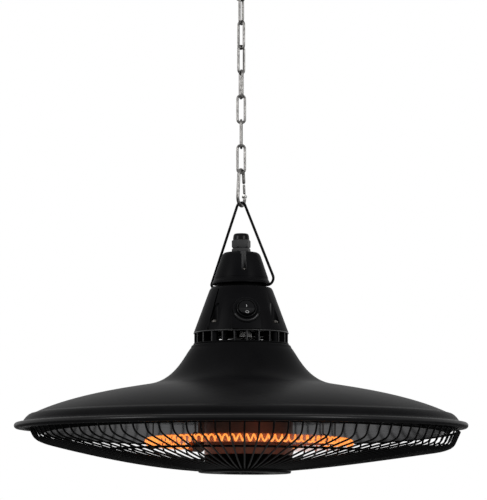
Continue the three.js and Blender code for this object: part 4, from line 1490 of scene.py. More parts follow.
@dataclass
class Cap:
    """The tapered cap under the gland; the ring in its neck is dressed with it."""

    lip_height: float = 169.5
    lip_radius: float = 35.0
    shoulder_height: float = 202.0
    shoulder_radius: float = 24.0
    top_height: float = 207.8
    top_flat: float = 18.4
    seat_radius: float = 29.2
    seat_height: float = 173.0
    cavity_radius: float = 20.0
    cavity_top: float = 13.0
    roof: float = 4.0
    screw_circle: float = 25.2
    channel_radius: float = 3.1
    channel_floor: float = 184.5
    channel_reach: float = 12.0
    soft: float = 0.3
    band_low: float = 174.0
    band_high: float = 177.0
    band_depth: float = 0.35
    band_run: float = 0.3
    top_shares: tuple[float, ...] = (0.15, 0.5, 0.5, 1)
    lip_round: float = 0.6
    gland_hole: float = 8.2
    screw_hole: float = 2.05

    def side(self, height: float) -> float:
        """The outside radius at a height."""
        share = (height - self.lip_height) / (self.shoulder_height - self.lip_height)
        return self.lip_radius + (self.shoulder_radius - self.lip_radius) * share

    def shell(self) -> Solid:
        """The spun shell with its faint band and its two screw channels.

        Returns:
            The closed mesh.
        """
        low, high, run = self.band_low, self.band_high, self.band_run
        ends = (low, 0), (low + run, self.band_depth), (high - run, self.band_depth), (high, 0)
        band = [(self.side(height) - inset, height) for height, inset in ends]
        start, end = (self.shoulder_radius, self.shoulder_height), (self.top_flat, self.top_height)
        top = eased(start, end, self.top_shares, 12)
        bend = self.lip_round
        lip = arc((self.lip_radius - bend, self.lip_height + bend), bend, -90, 10, 4)
        roof = self.top_height - self.roof
        profile = [
            (self.seat_radius, self.lip_height), *lip, *band, *top,
            (self.gland_hole, self.top_height), (self.gland_hole, roof), (self.cavity_top, roof),
            (self.cavity_radius, self.seat_height), (self.seat_radius, self.seat_height),
        ]
        bm = spun(profile, 128)
        half, floor, over = self.channel_radius, self.channel_floor, self.top_height + 2
        for angle in (0, 180):
            slot = drum(half, floor, over, 40)
            mouth = block((-half, -self.channel_reach, floor), (half, 0, over))
            hole = drum(self.screw_hole, self.lip_height, floor + 1, 24)
            for tool in (joined(slot, mouth, Joining.ADD), hole):
                tool = turned(shifted(tool, y=-self.screw_circle), angle)
                bm = joined(bm, tool, Joining.CUT)
        return bm

    def in_channel(self, at: Vector) -> bool:
        """True for a point on the wall of a screw channel.

        Args:
            at: The point, in millimetres.

        Returns:
            True if it is.
        """
        within = math.hypot(at.x, at.y) < self.side(at.z) - 0.1
        ahead = abs(at.x) < self.channel_radius + 0.3 and abs(at.y) > self.channel_radius
        return within and ahead and at.z > self.channel_floor

    def build(self, nodes: Nodes) -> None:
        """Builds the cap and dresses the neck ring and the screws.

        Args:
            nodes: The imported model's objects.
        """
        # The screw channels' walls wear the lighter gland plastic as painted highlights along the
        # channels' edges.
        piece(
            "cap_moulded", softened(self.shell(), self.soft, 40), Finishes.housing_plastic,
            "cap", painted_light=Finishes.gland_plastic, polished=self.in_channel,
        )
        # The neck ring and the screws wear finishes darkened as painted shade.
        dress(nodes, ["neck_ring"], Finishes.shaded_paint)
        dress(nodes, ["cap_screw_1", "cap_screw_2"], Finishes.shaded_zinc)


@dataclass
class Housing:
    """The cone housing with its screw pockets and the boss of the switch."""

    foot: float = 112.0
    foot_radius: float = 56.5
    top: float = 165.4
    top_radius: float = 38.2
    shoulder: float = 3.6
    top_shares: tuple[float, ...] = (0.25, 0.5, 0.5, 1)
    wall: float = 3.0
    soft: float = 0.35
    seat_radius: float = 29.2
    ledge_top: float = 159.7
    ledge: float = 3.2
    ledge_radius: float = 22.0
    pocket_radius: float = 6.0
    pocket_floor: float = 120.8
    pocket_top: float = 146.0
    pocket_wall: float = 2.0
    thread: float = 2.0
    cap_screw_circle: float = 25.2
    switch_height: float = 134.7
    pad_width: float = 34.0
    pad_rise: float = 0.9
    boss_radius: float = 16.0
    boss_rise: float = 3.4
    boss_round: float = 2.0
    boss_root: float = 12.0
    seat_radii: Point = (12.6, 12.0)
    seat_depth: float = 0.5
    hole_radius: float = 10.4

    def __post_init__(self) -> None:
        """Works out the cone's slope."""
        self.slope = (self.foot_radius - self.top_radius) / (self.top - self.shoulder - self.foot)
        self.tilt = math.degrees(math.atan(self.slope))

    def side(self, height: float) -> float:
        """The outside radius at a height."""
        return self.foot_radius - (height - self.foot) * self.slope

    def outline(self) -> Profile:
        """The outside from foot to top.

        Returns:
            The line's points.
        """
        start = (self.top_radius, self.top - self.shoulder)
        end = (self.top_radius - self.shoulder, self.top)
        return [(self.foot_radius, self.foot), *eased(start, end, self.top_shares, 10)]

    def at_switch(self, bm: Solid) -> Solid:
        """Stands a mesh built along Z square to the cone at the switch."""
        turned(bm, 90 - self.tilt, "X")
        return shifted(bm, y=-self.side(self.switch_height), z=self.switch_height)

    def pad(self) -> Solid:
        """The low arched pad round the switch, its sides running down to the foot.

        Returns:
            The closed mesh.
        """
        half = self.pad_width / 2
        drop = (self.switch_height - self.foot) / math.cos(math.radians(self.tilt))
        whole = drum(half, -self.foot_radius / 2, self.pad_rise, 64)
        legs = block((-half, -drop - 6, -self.foot_radius / 2), (half, 0, self.pad_rise))
        whole = self.at_switch(joined(whole, legs, Joining.ADD))
        reach = self.foot_radius
        front = block((-reach, -2 * reach, self.foot), (reach, 0, self.top))
        return joined(whole, front, Joining.KEEP)

    def boss(self) -> Solid:
        """The round boss that the switch sits in, its edge rolled over.

        Returns:
            The closed mesh.
        """
        bend, root, sunk = self.boss_round, -self.boss_root, self.boss_rise - self.seat_depth
        rim = arc((self.boss_radius - bend, self.boss_rise - bend), bend, 0, 90, 8)
        dish = [(self.seat_radii[0], self.boss_rise), (self.seat_radii[1], sunk), (0, sunk)]
        profile = [(0, root), (self.boss_radius, root), *rim, *dish]
        return self.at_switch(spun(profile, 72, closed=False))

    def shell(self) -> Solid:
        """The whole housing.

        Returns:
            The closed mesh.
        """
        ledge_foot = self.ledge_top - self.ledge
        inner_foot = self.foot_radius - self.wall
        inner_top = self.side(ledge_foot) - self.wall
        profile = [
            *self.outline(), (self.seat_radius, self.top), (self.seat_radius, self.ledge_top),
            (self.ledge_radius, self.ledge_top), (self.ledge_radius, ledge_foot),
            (inner_top, ledge_foot), (inner_foot, self.foot),
        ]
        bm = spun(profile, 144)
        hollow = [
            (0, self.foot - 1), (inner_foot, self.foot - 1), (inner_foot, self.foot),
            (inner_top, ledge_foot), (0, ledge_foot),
        ]
        inside = spun(hollow, 144, closed=False)
        raised = joined(joined(self.pad(), self.boss(), Joining.ADD), inside, Joining.CUT)
        bm = joined(bm, raised, Joining.ADD)
        outside = spun([(0, self.foot), *self.outline(), (0, self.top)], 144, closed=False)
        posts = drums(
            self.pocket_radius + self.pocket_wall, self.foot, self.pocket_top + self.pocket_wall,
            SCREW_CIRCLE, steps=32,
        )
        bm = joined(bm, joined(posts, outside, Joining.KEEP), Joining.ADD)
        reach = self.foot_radius
        for tool in (
            drums(self.pocket_radius, self.pocket_floor, self.pocket_top, SCREW_CIRCLE, steps=48),
            drums(SCREW_HOLE, self.foot - 1, self.pocket_floor + 1, SCREW_CIRCLE),
            self.at_switch(drum(self.hole_radius, -reach / 2, reach, 64)),
            drums(self.thread, ledge_foot - 1, self.ledge_top + 1, self.cap_screw_circle, 2, 0),
        ):
            bm = joined(bm, tool, Joining.CUT)
        return bm

    def on_edge(self, at: Vector) -> bool:
        """True for a point on a screw pocket's inner wall or low on the boss's rolled edge.

        Args:
            at: The point, in millimetres.

        Returns:
            True if it is.
        """
        reach = SCREW_CIRCLE * math.sqrt(0.5)
        from_pocket = math.hypot(abs(at.x) - reach, abs(at.y) - reach)
        inwards = abs(at.x) < reach - self.pocket_radius * 0.6
        under_skin = math.hypot(at.x, at.y) < self.side(at.z) - 0.3
        in_reach = from_pocket < self.pocket_radius + 0.1
        if inwards and under_skin and in_reach and self.pocket_floor < at.z < self.pocket_top:
            return True
        tilt = math.radians(self.tilt)
        axis = Vector((0, -math.cos(tilt), math.sin(tilt)))
        offset = at - Vector((0, -self.side(self.switch_height), self.switch_height))
        rise = offset.dot(axis)
        out = (offset - axis * rise).length - self.boss_radius
        low = offset.z < -self.boss_radius * 0.3
        return low and rise > self.pad_rise and -2.3 < out < 0.1

    def build(self, nodes: Nodes) -> None:
        """Builds the housing and dresses its screws.

        Args:
            nodes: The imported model's objects.
        """
        # The pockets' inner walls and the boss's low rolled edge wear a lighter plastic as painted
        # highlights; the screws in the pockets wear zinc darkened as painted shade.
        piece(
            "cone_housing_moulded", softened(self.shell(), self.soft, 35),
            Finishes.housing_plastic, "cone_housing", sharp=32,
            painted_light=Finishes.painted_highlight_plastic, polished=self.on_edge,
        )
        dress(nodes, [f"housing_screw_{i}" for i in range(1, 5)], Finishes.shaded_zinc)


@dataclass
class Switch:
    """The round rocker switch."""

    housing: Housing
    rise: float = 3.4
    radius: float = 11.7
    bore: float = 10.4
    bezel_rise: float = 2.2
    bezel_round: float = 1.0
    cut: float = 0.25
    rocker_radius: float = 9.5
    rocker_depth: float = 3.0
    angle: float = 12.0
    proud: float = 1.2
    soft: float = 0.3

    def __post_init__(self) -> None:
        """Works out the pivot's height above the skin."""
        self.foot = self.rise + 0.3
        self.top = self.foot + self.bezel_rise
        self.pivot = self.top - self.rocker_depth / 2

    def bezel(self) -> Solid:
        """The bezel ring.

        Returns:
            The closed mesh.
        """
        bend = self.bezel_round
        edge = arc((self.radius - bend, self.top - bend), bend, 0, 75, 6)
        profile = [
            (self.bore, self.foot), (self.radius, self.foot), *edge,
            (self.bore + self.cut, self.top), (self.bore, self.top - self.cut),
        ]
        return self.housing.at_switch(spun(profile, 64))

    def rocker(self) -> Solid:
        """The rocker: a drum whose face is two flats that meet at the pivot.

        Returns:
            The closed mesh.
        """
        depth, radius = self.rocker_depth, self.rocker_radius
        slope = math.tan(math.radians(self.angle))
        body = drum(radius, -depth / 2, self.proud + radius * slope + 1, 64)
        for side in (-1, 1):
            wedge = block((-radius - 1, 0, 0), (radius + 1, radius + 2, radius))
            turned(wedge, self.angle, "X")
            if side < 0:
                turned(wedge, 180)
            body = joined(body, shifted(wedge, z=self.proud), Joining.CUT)
        body = softened(body, self.soft, 12, 3)
        turned(body, -self.angle, "X")
        return self.housing.at_switch(shifted(body, z=self.pivot))

    def face(self) -> RockerFace:
        """The rocker's finish, its marks set out from the pivot.

        Returns:
            The finish.
        """
        lean = math.radians(self.housing.tilt)
        height = self.housing.switch_height
        y = -self.housing.side(height) - self.pivot * math.cos(lean)
        z = height + self.pivot * math.sin(lean) + LAMP_DROP
        return RockerFace(
            "rocker_face", "gloss_plastic", (0.004, 0.004, 0.0045), 0.3,
            specular=0.06, centre=(y, z), lean=self.housing.tilt,
        )

    def build(self, nodes: Nodes) -> None:
        """Builds the bezel and the rocker.

        Args:
            nodes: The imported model's objects.
        """
        piece("switch_bezel_moulded", self.bezel(), Finishes.bezel_plastic, "switch_bezel")
        piece(
            "switch_rocker_moulded", self.rocker(), self.face(), "switch_rocker",
            Body.ROCKER.value, sharp=30,
        )
        dress(nodes, ["switch_body"], Finishes.bezel_plastic)


@dataclass
class Vent:
    """The vent ring: two flanges with upright ribs between them."""

    foot: float = 97.3
    top: float = 111.7
    radius: float = 56.9
    inner: float = 44.0
    flange: float = 1.4
    ribs: int = 24
    rib_thickness: float = 1.6
    rib_soft: float = 0.3
    edge_cut: float = 0.35
    post_radius: float = 4.5
    lip_wall: float = 1.2
    lip_height: float = 1.7

    def outer_edge(self, at: Vector) -> bool:
        """True for a point on a rib's outer end or on the upper flange's edge.

        Args:
            at: The point, in millimetres.

        Returns:
            True if it is.
        """
        reach = math.hypot(at.x, at.y)
        foot, top = self.foot + self.flange, self.top - self.flange
        on_rib = foot < at.z < top and reach > self.radius - self.flange
        return on_rib or (at.z > top and reach > self.radius - 0.4)

    def ring(self) -> Solid:
        """The whole ring.

        Returns:
            The closed mesh.
        """
        low, high = self.foot, self.top
        edge = self.edge_cut

        def flange(bottom: float) -> Profile:
            """One flange's rounded section.

            Args:
                bottom: The height of its underside.

            Returns:
                The line's points.
            """
            top = bottom + self.flange
            return [
                (self.inner, bottom), (self.radius - edge, bottom), (self.radius, bottom + edge),
                (self.radius, top - edge), (self.radius - edge, top), (self.inner, top),
            ]

        lip_wall, lip_top = self.inner + self.lip_wall, low + self.flange + self.lip_height
        lip = [
            (self.inner, low + edge), (lip_wall, low + edge), (lip_wall, lip_top),
            (self.inner, lip_top),
        ]
        foot = joined(spun(flange(low), 120), spun(lip, 120), Joining.ADD)
        bm = gathered([foot, spun(flange(high - self.flange), 120)])
        inset = self.flange / 2
        rib = block(
            (-self.rib_thickness / 2, -self.radius + inset, low + inset),
            (self.rib_thickness / 2, -self.inner - inset, high - inset),
        )
        bm = joined(bm, repeated(softened(rib, self.rib_soft, 60), self.ribs), Joining.ADD)
        posts = drums(self.post_radius, low + inset, high - inset, SCREW_CIRCLE, steps=32)
        bm = joined(bm, posts, Joining.ADD)
        return joined(bm, drums(SCREW_HOLE, low - 1, high + 1, SCREW_CIRCLE), Joining.CUT)

    def build(self) -> None:
        """Builds the vent ring."""
        # The rib ends and the upper flange's rim wear a lighter plastic as painted highlights.
        piece(
            "vent_ring_moulded", self.ring(), Finishes.housing_plastic, "vent_ring",
            painted_light=Finishes.painted_highlight_plastic, polished=self.outer_edge,
        )


@dataclass
class Shade:
    """The spun shade with its flare, dome, crease and rolled hem."""

    top: float = 97.0
    hole: float = 30.0
    top_radius: float = 56.6
    shoulder_drop: float = 3.4
    neck: float = 59.8
    kink: Point = (107.2, 50.3)
    dome_end: Point = (261.6, 5.7)
    roll_start: float = 246.5
    roll: tuple[Point, ...] = ((250.0, 15.4), (255.2, 10.2))
    crease: Point = (257.8, 5.6)
    hem_width: float = 10.6
    rim_drop: float = 3.2
    bead_share: float = 0.8
    valley_handles: tuple[Point, Point] = ((1.4, -0.9), (-2.2, -0.1))
    under_round: float = 0.7
    wall: float = 1.6
    flare_shares: tuple[float, ...] = (0.17, 0.22, 0.38, 0.85)
    dome_shares: tuple[float, ...] = (0.07, 0.07, 0.7, 0.3)

    def outside(self) -> Profile:
        """The outer line from the hole to the crease.

        Returns:
            The line's points.
        """
        neck = (self.neck, self.top - self.shoulder_drop)
        shoulder = eased((self.top_radius, self.top), neck, (0.5, 0, 1, 0.5), 6)
        flare = eased(neck, self.kink, self.flare_shares, 18)
        dome = eased(self.kink, self.dome_end, self.dome_shares, 40)
        dome = [point for point in dome if point[0] < self.roll_start]
        edge = bezier((dome[-1], *self.roll, self.crease), 8)
        return [(self.hole, self.top), *shoulder, *flare[1:], *dome[1:], *edge[1:]]

    def sheet(self) -> Solid:
        """The spun sheet.

        Returns:
            The closed mesh.
        """
        outer = self.outside()
        inner = beside(list(reversed(outer)), self.wall)
        hem_inner = self.crease[0] - self.wall
        inner[0] = (hem_inner, inner[0][1])
        inner[-1] = (self.hole, self.top - self.wall)
        bead = (self.crease[1] + self.rim_drop) / 2 * self.bead_share
        rim = self.crease[0] + self.hem_width
        hem = arc((rim - bead, -self.rim_drop + bead), bead * 0.995, 78, -90, 16)
        crease, start = outer[-1], hem[0]
        ends = zip((crease, start), self.valley_handles)
        handles = [(at[0] + out, at[1] + up) for at, (out, up) in ends]
        valley = bezier((crease, *handles, start), 6)
        under = [hem[-1], (hem_inner, -self.rim_drop), inner[0]]
        under = round_corner(under, self.under_round)
        profile = [*outer, *valley[1:], *hem[1:], *under[1:], *inner[1:]]
        holes = drums(SCREW_HOLE, self.top - 3, self.top + 1, SCREW_CIRCLE)
        return joined(spun(profile, 160), holes, Joining.CUT)

    def build(self, nodes: Nodes) -> None:
        """Builds the shade and dresses what clamps it.

        Args:
            nodes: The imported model's objects.
        """
        piece("shade_spun", self.sheet(), Finishes.shade_paint, "shade", sharp=50)
        # The clamp plate, strap, rod, lower nut and spacer sit in shadow and wear zinc darkened as
        # painted shade.
        dress(nodes, ["clamp_plate", "shade_strap", "centre_rod"], Finishes.deep_shaded_zinc)
        dress(nodes, ["rod_nut_lower", "spacer_tube"], Finishes.shaded_zinc)
        dress(nodes, ["rod_nut_upper"], Finishes.bright)


def hung(front_up: float = 1.2, right_down: float = 0.6) -> Matrix:
    """How the pan hangs under the shade: a little off its axis and out of level.

    Args:
        front_up: How far its front is turned up, in degrees.
        right_down: How far its right side is turned down, in degrees.

    Returns:
        The matrix from the pan's own place to the lamp's.
    """
    forwards = Matrix.Rotation(math.radians(-front_up), 4, "X")
    sideways = Matrix.Rotation(math.radians(right_down), 4, "Y")
    return Matrix.Translation(PAN_OFFSET) @ (forwards @ sideways)


@dataclass
class Pan:
    """The reflector, the skirt round it and the hub in its middle."""

    pose: Matrix = field(default_factory=hung)
    edge_front_up: float = 1.5
    edge_right_down: float = 0.2
    edge_radius: float = 238.18
    edge_height: float = -8.4
    roof_height: float = 19.0
    roof_radius: float = 190.0
    beads: Point = (158.0, 96.0)
    bead_depth: float = 0.6
    hole: float = 53.2
    wall: float = 1.0
    lip: float = 2.6
    skirt_radius: float = 252.28
    skirt_top: float = 1.4
    skirt_wall: float = 1.2
    skirt_knee: Point = (6.5, 5.0)
    hub_radius: float = 52.4
    hub_shift: float = 4.3
    hub_top: float = 28.0
    hub_foot: float = -34.0
    hub_wall: float = 1.2
    hub_round: float = 2.0
    base_radius: float = 50.5
    base_foot: float = -50.7
    base_wall: float = 2.0
    base_cut: float = 0.8
    rod_room: float = 4.35

    def reflector(self) -> Solid:
        """The spun reflector: a flat roof, a curved wall and a small flange.

        Returns:
            The closed mesh.
        """
        edge = (self.edge_radius, self.edge_height)
        wall = eased(edge, (self.roof_radius, self.roof_height), (0.12, 0.55, 0.45, 1), 24)
        roof = self.roof_height
        beads = [
            (radius + out, roof - depth)
            for radius in self.beads for out, depth in ((2, 0), (0, self.bead_depth), (-2, 0))
        ]
        under = [*wall, *beads, (self.hole - 2 * self.hub_shift, roof)]
        over = [(r, z + self.wall) for r, z in under[1:]]
        lip, lip_top = self.edge_radius + self.lip, self.edge_height + self.wall
        flange = [(lip, self.edge_height), (lip, lip_top), (self.edge_radius, lip_top)]
        profile = [*reversed(under), *flange, *over]
        hole = shifted(drum(self.hole, 0, 2 * self.roof_height, 112), x=self.hub_shift)
        return joined(spun(profile, 144), hole, Joining.CUT)

    def skirt(self) -> Solid:
        """The black skirt from the hem in to the reflector.

        Returns:
            The closed mesh.
        """
        low, wall = self.edge_height - 0.3, self.skirt_wall
        outer = (self.skirt_radius, self.skirt_top)
        inner = self.edge_radius
        knee = (outer[0] - self.skirt_knee[0], outer[1] - self.skirt_knee[1])
        bend = outer[1] - 2 * wall
        profile = [
            (inner, low - wall), (inner + self.lip, low - wall), (knee[0] + wall, knee[1] - wall),
            (outer[0], bend), outer, (outer[0] - wall, outer[1]), (outer[0] - wall, bend + 0.3),
            knee, (inner + self.lip, low), (inner, low),
        ]
        return spun(profile, 144)

    def can(self) -> Solid:
        """The hub can, open below.

        Returns:
            The closed mesh.
        """
        top, wall, bend = self.hub_top, self.hub_wall, self.hub_round
        edge = arc((self.hub_radius - bend, top - bend), bend, 0, 90, 6)
        inner = self.hub_radius - wall
        profile = [
            (0, top - wall), (inner - bend, top - wall), (inner, top - bend - wall),
            (inner, self.hub_foot), (self.hub_radius, self.hub_foot), *edge, (0, top),
        ]
        return self.on_rod(spun(profile, 112, closed=False))

    def on_rod(self, bm: Solid) -> Solid:
        """Sets a spun hub piece beside the pan's axis and bores it for the rod."""
        bore = drum(self.rod_room, 2 * self.base_foot, 2 * self.hub_top, 32)
        return joined(shifted(bm, x=self.hub_shift), bore, Joining.CUT)

    def base(self) -> Solid:
        """The black dish under the hub can.

        Returns:
            The closed mesh.
        """
        top, foot, wall = self.hub_foot - 0.3, self.base_foot, self.base_wall
        inner = self.hub_radius - self.hub_wall - 0.3
        profile = [
            (0, foot), (self.base_radius - self.base_cut, foot),
            (self.base_radius, foot + self.base_cut), (self.hub_radius, top - 0.5),
            (self.hub_radius - 0.2, top), (inner, top), (inner, top + wall),
            (inner - wall, top + wall), (self.base_radius - wall, foot + wall), (0, foot + wall),
        ]
        return self.on_rod(spun(profile, 112, closed=False))

    def build(self) -> None:
        """Builds the pan's pieces."""
        edge_pose = hung(self.edge_front_up, self.edge_right_down)
        # The skirt and the hub's base wear black paint darkened as painted shade.
        for name, bm, pose, finish, node in (
            ("reflector_spun", self.reflector(), edge_pose, Finishes.aluminium, "reflector"),
            ("rim_skirt_rolled", self.skirt(), edge_pose, Finishes.shaded_paint, "rim_skirt"),
            ("hub_can_drawn", self.can(), self.pose, Finishes.hub, "hub_can"),
            ("hub_base_drawn", self.base(), self.pose, Finishes.shaded_paint, "hub_base"),
        ):
            piece(name, moved(bm, pose), finish, node)


@dataclass
class Element:
    """The ring element: a C of quartz tube with a wound coil inside."""

    pose: Matrix = field(default_factory=hung)
    circle: float = 119.4
    shift: float = 5.0
    height: float = -19.0
    tube_radius: float = 5.25
    tube_bore: float = 4.6
    start: float = -153.0
    end: float = 150.0
    open_end: float = 0.5
    lead_out: float = 1.8
    coil_radius: float = 3.6
    wire_radius: float = 1.05
    curls: int = 62
    coil_start: float = -150.0
    coil_end: float = 92.0
    steps: int = 14
    bracket_turns: tuple[float, ...] = (-112, -38, 38, 112)
    bracket_wire: float = 0.8
    bracket_rise: float = 37.0
    bracket_neck: float = 2.5
    bracket_fit: float = 0.2

    def on_ring(self, turn: float, out: float = 0.0, up: float = 0.0) -> Vector:
        """A point beside the ring's centre line.

        Args:
            turn: The angle from the front, in degrees, positive to the right.
            out: How far outwards it lies.
            up: How far above.

        Returns:
            The point.
        """
        angle = math.radians(turn - 90)
        radius = self.circle + out
        x, y = self.shift + radius * math.cos(angle), radius * math.sin(angle)
        return Vector((x, y, self.height + up))

    def bracket(self, turn: float) -> Solid:
        """A bent wire that hangs from the roof and loops once round the tube.

        Args:
            turn: Where it stands, in degrees from the front.

        Returns:
            The closed mesh.
        """
        reach = self.tube_radius + self.bracket_wire + self.bracket_fit
        loop = arc((0, 0), reach, 90, -250, 28)
        stem = (self.bracket_rise, self.bracket_rise / 2, reach + self.bracket_neck)
        route = [self.on_ring(turn, 0, up) for up in stem]
        route += [self.on_ring(turn, out, up) for out, up in loop]
        return swept(route, self.bracket_wire, 8)

    def tube(self) -> Solid:
        """The quartz tube.

        Returns:
            The closed mesh.
        """
        count = 120
        turns = [self.start + (self.end - self.start) * i / count for i in range(count + 1)]
        outer = swept([self.on_ring(t) for t in turns], self.tube_radius, 20)
        turns[0] -= self.open_end
        turns[-1] += self.open_end
        inner = swept([self.on_ring(t) for t in turns], self.tube_bore, 20)
        return joined(outer, inner, Joining.CUT)

    def coil(self) -> Solid:
        """The wound coil with its two straight leads.

        Returns:
            The closed mesh.
        """
        total = self.curls * self.steps
        route = [self.on_ring(self.start - self.lead_out), self.on_ring(self.start)]
        for i in range(total + 1):
            turn = self.coil_start + (self.coil_end - self.coil_start) * i / total
            curl = FULL_TURN * i / self.steps
            reach = self.coil_radius * min(1.0, i / self.steps, (total - i) / self.steps)
            route.append(self.on_ring(turn, reach * math.cos(curl), reach * math.sin(curl)))
        lead = self.end - self.coil_end
        route += [self.on_ring(self.coil_end + lead * i / 16) for i in range(1, 17)]
        route.append(self.on_ring(self.end + self.lead_out))
        return swept(route, self.wire_radius, 7)

    def build(self, nodes: Nodes) -> None:
        """Builds the tube and the coil and dresses what holds them.

        Args:
            nodes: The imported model's objects.
        """
        tube, coil = moved(self.tube(), self.pose), moved(self.coil(), self.pose)
        piece("quartz_tube_drawn", tube, Finishes.quartz, "quartz_tube")
        piece("heating_coil_wound", coil, Finishes.coil, "heating_coil", sharp=60)
        dress(nodes, ["ceramic_end_left", "ceramic_end_right"], Finishes.fired)
        # The brackets wear zinc darkened as painted shade.
        for i, turn in enumerate(self.bracket_turns, 1):
            bm = moved(self.bracket(turn), self.pose)
            piece(f"bracket_{i}_bent", bm, Finishes.shaded_zinc, f"tube_bracket_{i}", sharp=60)


@dataclass
class Guard:
    """The wire guard: many bent wires on a dished centre plate, with two hoops."""

    pose: Matrix = field(default_factory=hung)
    wires: int = 100
    wire: float = 2.2
    thinning: float = 0.98
    bend: float = 6.0
    top: Point = (254.0, -5.4)
    corner: Point = (247.3, -19.4)
    corner_skew: Point = (1.0, 2.9)
    shoulder: Point = (238.0, -23.4)
    shoulder_skew: float = 2.5
    bowl: tuple[Point, ...] = ((178.0, -35.4), (110.0, -47.7))
    bowl_skews: Point = (-0.6, -1.9)
    plate_radius: float = 55.0
    plate_top: float = -51.0
    plate_thickness: float = 3.9
    plate_round: float = 1.8
    plate_cut: float = 0.4
    weld_depth: float = 5.0
    weld_rise: float = 0.22
    weld_skew: float = 0.65
    dish: float = 2.8
    nut_radius: float = 6.6
    nut_bore: float = 3.4
    nut_inset: float = 0.2
    nut_soft: float = 0.3
    rod_room: float = 4.35
    rim_hoop: Triple = (250.88, -5.4, 1.4)
    middle_hoop: Triple = (182.0, -32.0, 1.3)

    def wire_line(self, side: float) -> Profile:
        """One wire's line, from the rim down the wall and over the bowl to the plate.

        Args:
            side: Where the wire stands, from -1 at the left to 1 at the right.

        Returns:
            The line's points. The bowl is a little skew: its rim stands higher at the left.
        """
        corner = tuple(part - skew * side for part, skew in zip(self.corner, self.corner_skew))
        shoulder = (self.shoulder[0], self.shoulder[1] - self.shoulder_skew * side)
        handles = [(r, z - skew * side) for (r, z), skew in zip(self.bowl, self.bowl_skews)]
        weld_height = self.plate_top + self.weld_rise + self.weld_skew * (side - 1)
        weld = (self.plate_radius - self.weld_depth, weld_height)
        bowl = bezier((shoulder, *handles, weld), 12)
        wall = round_corner([self.top, corner, shoulder, bowl[1]], self.bend, 5)
        return [*wall, *bowl[2:]]

    def cage(self) -> Solid:
        """The wires on their plate.

        Returns:
            The closed mesh.
        """
        wires = []
        for i in range(self.wires):
            turn = FULL_TURN * i / self.wires
            out = Vector((math.sin(turn), -math.cos(turn), 0))
            route = [out * r + Vector((0, 0, z)) for r, z in self.wire_line(out.x)]
            wires.append(swept(route, self.wire / 2 * self.thinning, 8))
        low, high = self.plate_top - self.plate_thickness, self.plate_top
        bend, cut = self.plate_round, self.plate_cut
        edge = arc((self.plate_radius - bend, low + bend), bend, -90, 0, 6)
        inner = self.plate_radius / 2
        profile = [
            (self.rod_room, low + self.dish), (inner, low + self.dish), (inner + self.dish, low),
            *edge, (self.plate_radius, high - cut), (self.plate_radius - cut, high),
            (self.rod_room, high),
        ]
        return gathered([*wires, spun(profile, 112)])

    def nut(self) -> Solid:
        """The hexagon nut in the plate's dish.

        Returns:
            The closed mesh.
        """
        foot = self.plate_top - self.plate_thickness
        top = foot + self.dish
        low, high = foot + self.nut_inset, top - self.nut_inset
        blank = softened(drum(self.nut_radius, low, high, 6), self.nut_soft, 40)
        return joined(blank, drum(self.nut_bore, foot - 1, top + 1, 24), Joining.CUT)

    def hoop(self, size: Triple) -> Solid:
        """A round hoop of wire.

        Args:
            size: The hoop's radius, its height and its wire's radius.

        Returns:
            The closed mesh.
        """
        radius, height, wire = size
        return spun(arc((radius, height), wire, 0, 360, 12)[:-1], 160)

    def build(self, nodes: Nodes) -> None:
        """Builds the cage and its hoops and dresses what holds them.

        Args:
            nodes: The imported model's objects.
        """
        for name, bm, node in (
            ("guard_cage_welded", self.cage(), "guard_cage"),
            ("rim_hoop_rolled", self.hoop(self.rim_hoop), "guard_rim_hoop"),
            ("middle_hoop_rolled", self.hoop(self.middle_hoop), "guard_middle_hoop"),
            ("guard_nut_turned", self.nut(), "guard_nut"),
        ):
            piece(name, moved(bm, self.pose), Finishes.wire_coat, node)
        # The clips wear black paint darkened as painted shade.
        dress(nodes, [f"guard_clip_{i}" for i in range(1, 5)], Finishes.shaded_paint)


# Stage


@dataclass(frozen=True)
class Softbox:
    """A soft square lamp: its place and side in metres, and its power in watts."""

    name: str
    place: Triple
    side: float
    power: float

    def build(self, target: Vector) -> None:
        """Hangs the lamp.

        Args:
            target: The point that it faces, in metres.
        """
        data = bpy.data.lights.new(self.name, "AREA")
        data.size = self.side
        data.energy = self.power
        lamp = placed(self.name, data)
        lamp.location = self.place
        lamp.rotation_mode = "QUATERNION"
        lamp.rotation_quaternion = (target - lamp.location).to_track_quat("-Z", "Y")


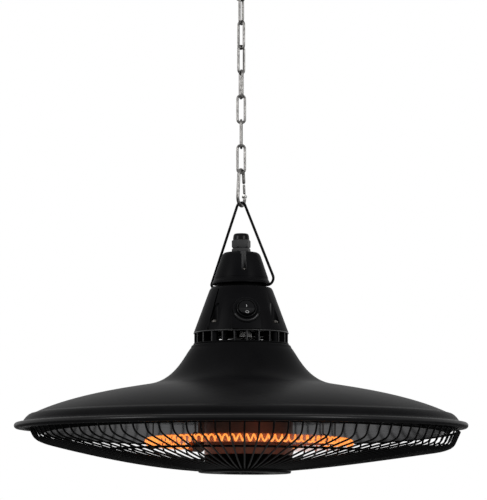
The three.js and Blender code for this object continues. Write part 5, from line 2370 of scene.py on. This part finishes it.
@dataclass
class Studio:
    """The camera, the lamps, the pale floor and the white surroundings."""

    distance: float = 2500.0
    azimuth: float = -7.0
    eye_height: float = -92.6
    aim_height: float = 211.3
    aim_right: float = 2.8
    focal_pixels: float = 2100.0
    long_side: int = 500
    sensor: float = 36.0
    view_range: Point = (0.05, 100)
    floor_height: float = -2200.0
    floor_size: float = 30000.0
    floor_tones: tuple[Colour, Colour] = ((0.86, 0.86, 0.86), (0.9, 0.9, 0.9))
    dim: Colour = (0.2, 0.2, 0.2)
    white: Colour = (1, 1, 1)
    lit_point: Triple = (0, 0, -0.45)
    softboxes: tuple[Softbox, ...] = (
        Softbox("left_softbox", (-2.05, -1.1, 0.35), 0.8, 32),
        Softbox("right_softbox", (1.35, -1.9, 0.3), 0.8, 33),
        Softbox("top_softbox", (0.1, 0.6, 1.5), 1.2, 5),
        Softbox("low_softbox", (0.7, -1.5, -2.0), 0.8, 12),
    )

    def camera(self) -> None:
        """Puts the camera where the photograph was taken from."""
        data = bpy.data.cameras.new("camera")
        data.sensor_width = self.sensor
        data.sensor_fit = "AUTO"
        data.lens = self.focal_pixels * self.sensor / self.long_side
        data.clip_start, data.clip_end = self.view_range
        turn = math.radians(self.azimuth)
        right = Vector((math.cos(turn), math.sin(turn)))
        back = Vector((math.sin(turn), -math.cos(turn)))
        eye = Vector((*(back * self.distance), self.eye_height + LAMP_DROP))
        aim = Vector((*(right * self.aim_right), self.aim_height + LAMP_DROP))
        camera = placed("camera", data)
        camera.rotation_mode = "QUATERNION"
        camera.location = eye * MM
        camera.rotation_quaternion = (aim - eye).to_track_quat("-Z", "Y")
        bpy.context.scene.camera = camera

    def floor(self) -> None:
        """Lays the pale floor."""
        bm = bmesh.new()
        bmesh.ops.create_grid(bm, x_segments=1, y_segments=1, size=self.floor_size / 2)
        moved(bm, Matrix.Diagonal((MM, MM, MM, 1)) @ Matrix.Translation((0, 0, self.floor_height)))
        mesh = settled("floor", bm)
        shading = Shading(bpy.data.materials.new("floor"))
        tone = shading.blend(shading.noise(0.6, 2), *self.floor_tones)
        mesh.materials.append(shading.surface({"Base Color": tone, "Roughness": 0.8}))
        placed("floor", mesh)

    def surroundings(self) -> None:
        """Makes the surroundings white to the camera and in gloss, and dimmer as a light."""
        world = bpy.data.worlds.new("surroundings")
        bpy.context.scene.world = world
        shading = Shading(world)
        camera_ray = shading.node("ShaderNodeLightPath", {}, {}, "Is Camera Ray")
        seen = camera_ray
        for ray in ("Is Glossy Ray", "Is Transmission Ray"):
            seen = seen.greater(camera_ray.beside(ray))
        colour = shading.blend(seen, self.dim, self.white)
        shading.surface({"Color": colour}, "ShaderNodeBackground")

    def build(self) -> None:
        """Sets the stage."""
        self.camera()
        for softbox in self.softboxes:
            softbox.build(Vector(self.lit_point))
        self.floor()
        self.surroundings()
        bpy.context.scene.view_settings.view_transform = "Standard"


def main() -> None:
    """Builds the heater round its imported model, piece by piece."""
    logging.basicConfig(level=logging.INFO, format="%(name)s: %(message)s")
    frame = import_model()
    nodes = frame["nodes"]
    Studio().build()
    housing = Housing()
    Ceiling().build(nodes)
    Chain().build()
    SnapHook().build()
    Bail().build()
    Gland().build(nodes)
    Cap().build(nodes)
    housing.build(nodes)
    Switch(housing).build(nodes)
    Vent().build()
    Shade().build(nodes)
    Pan().build()
    Element().build(nodes)
    Guard().build(nodes)


if __name__ == "__main__":
    main()
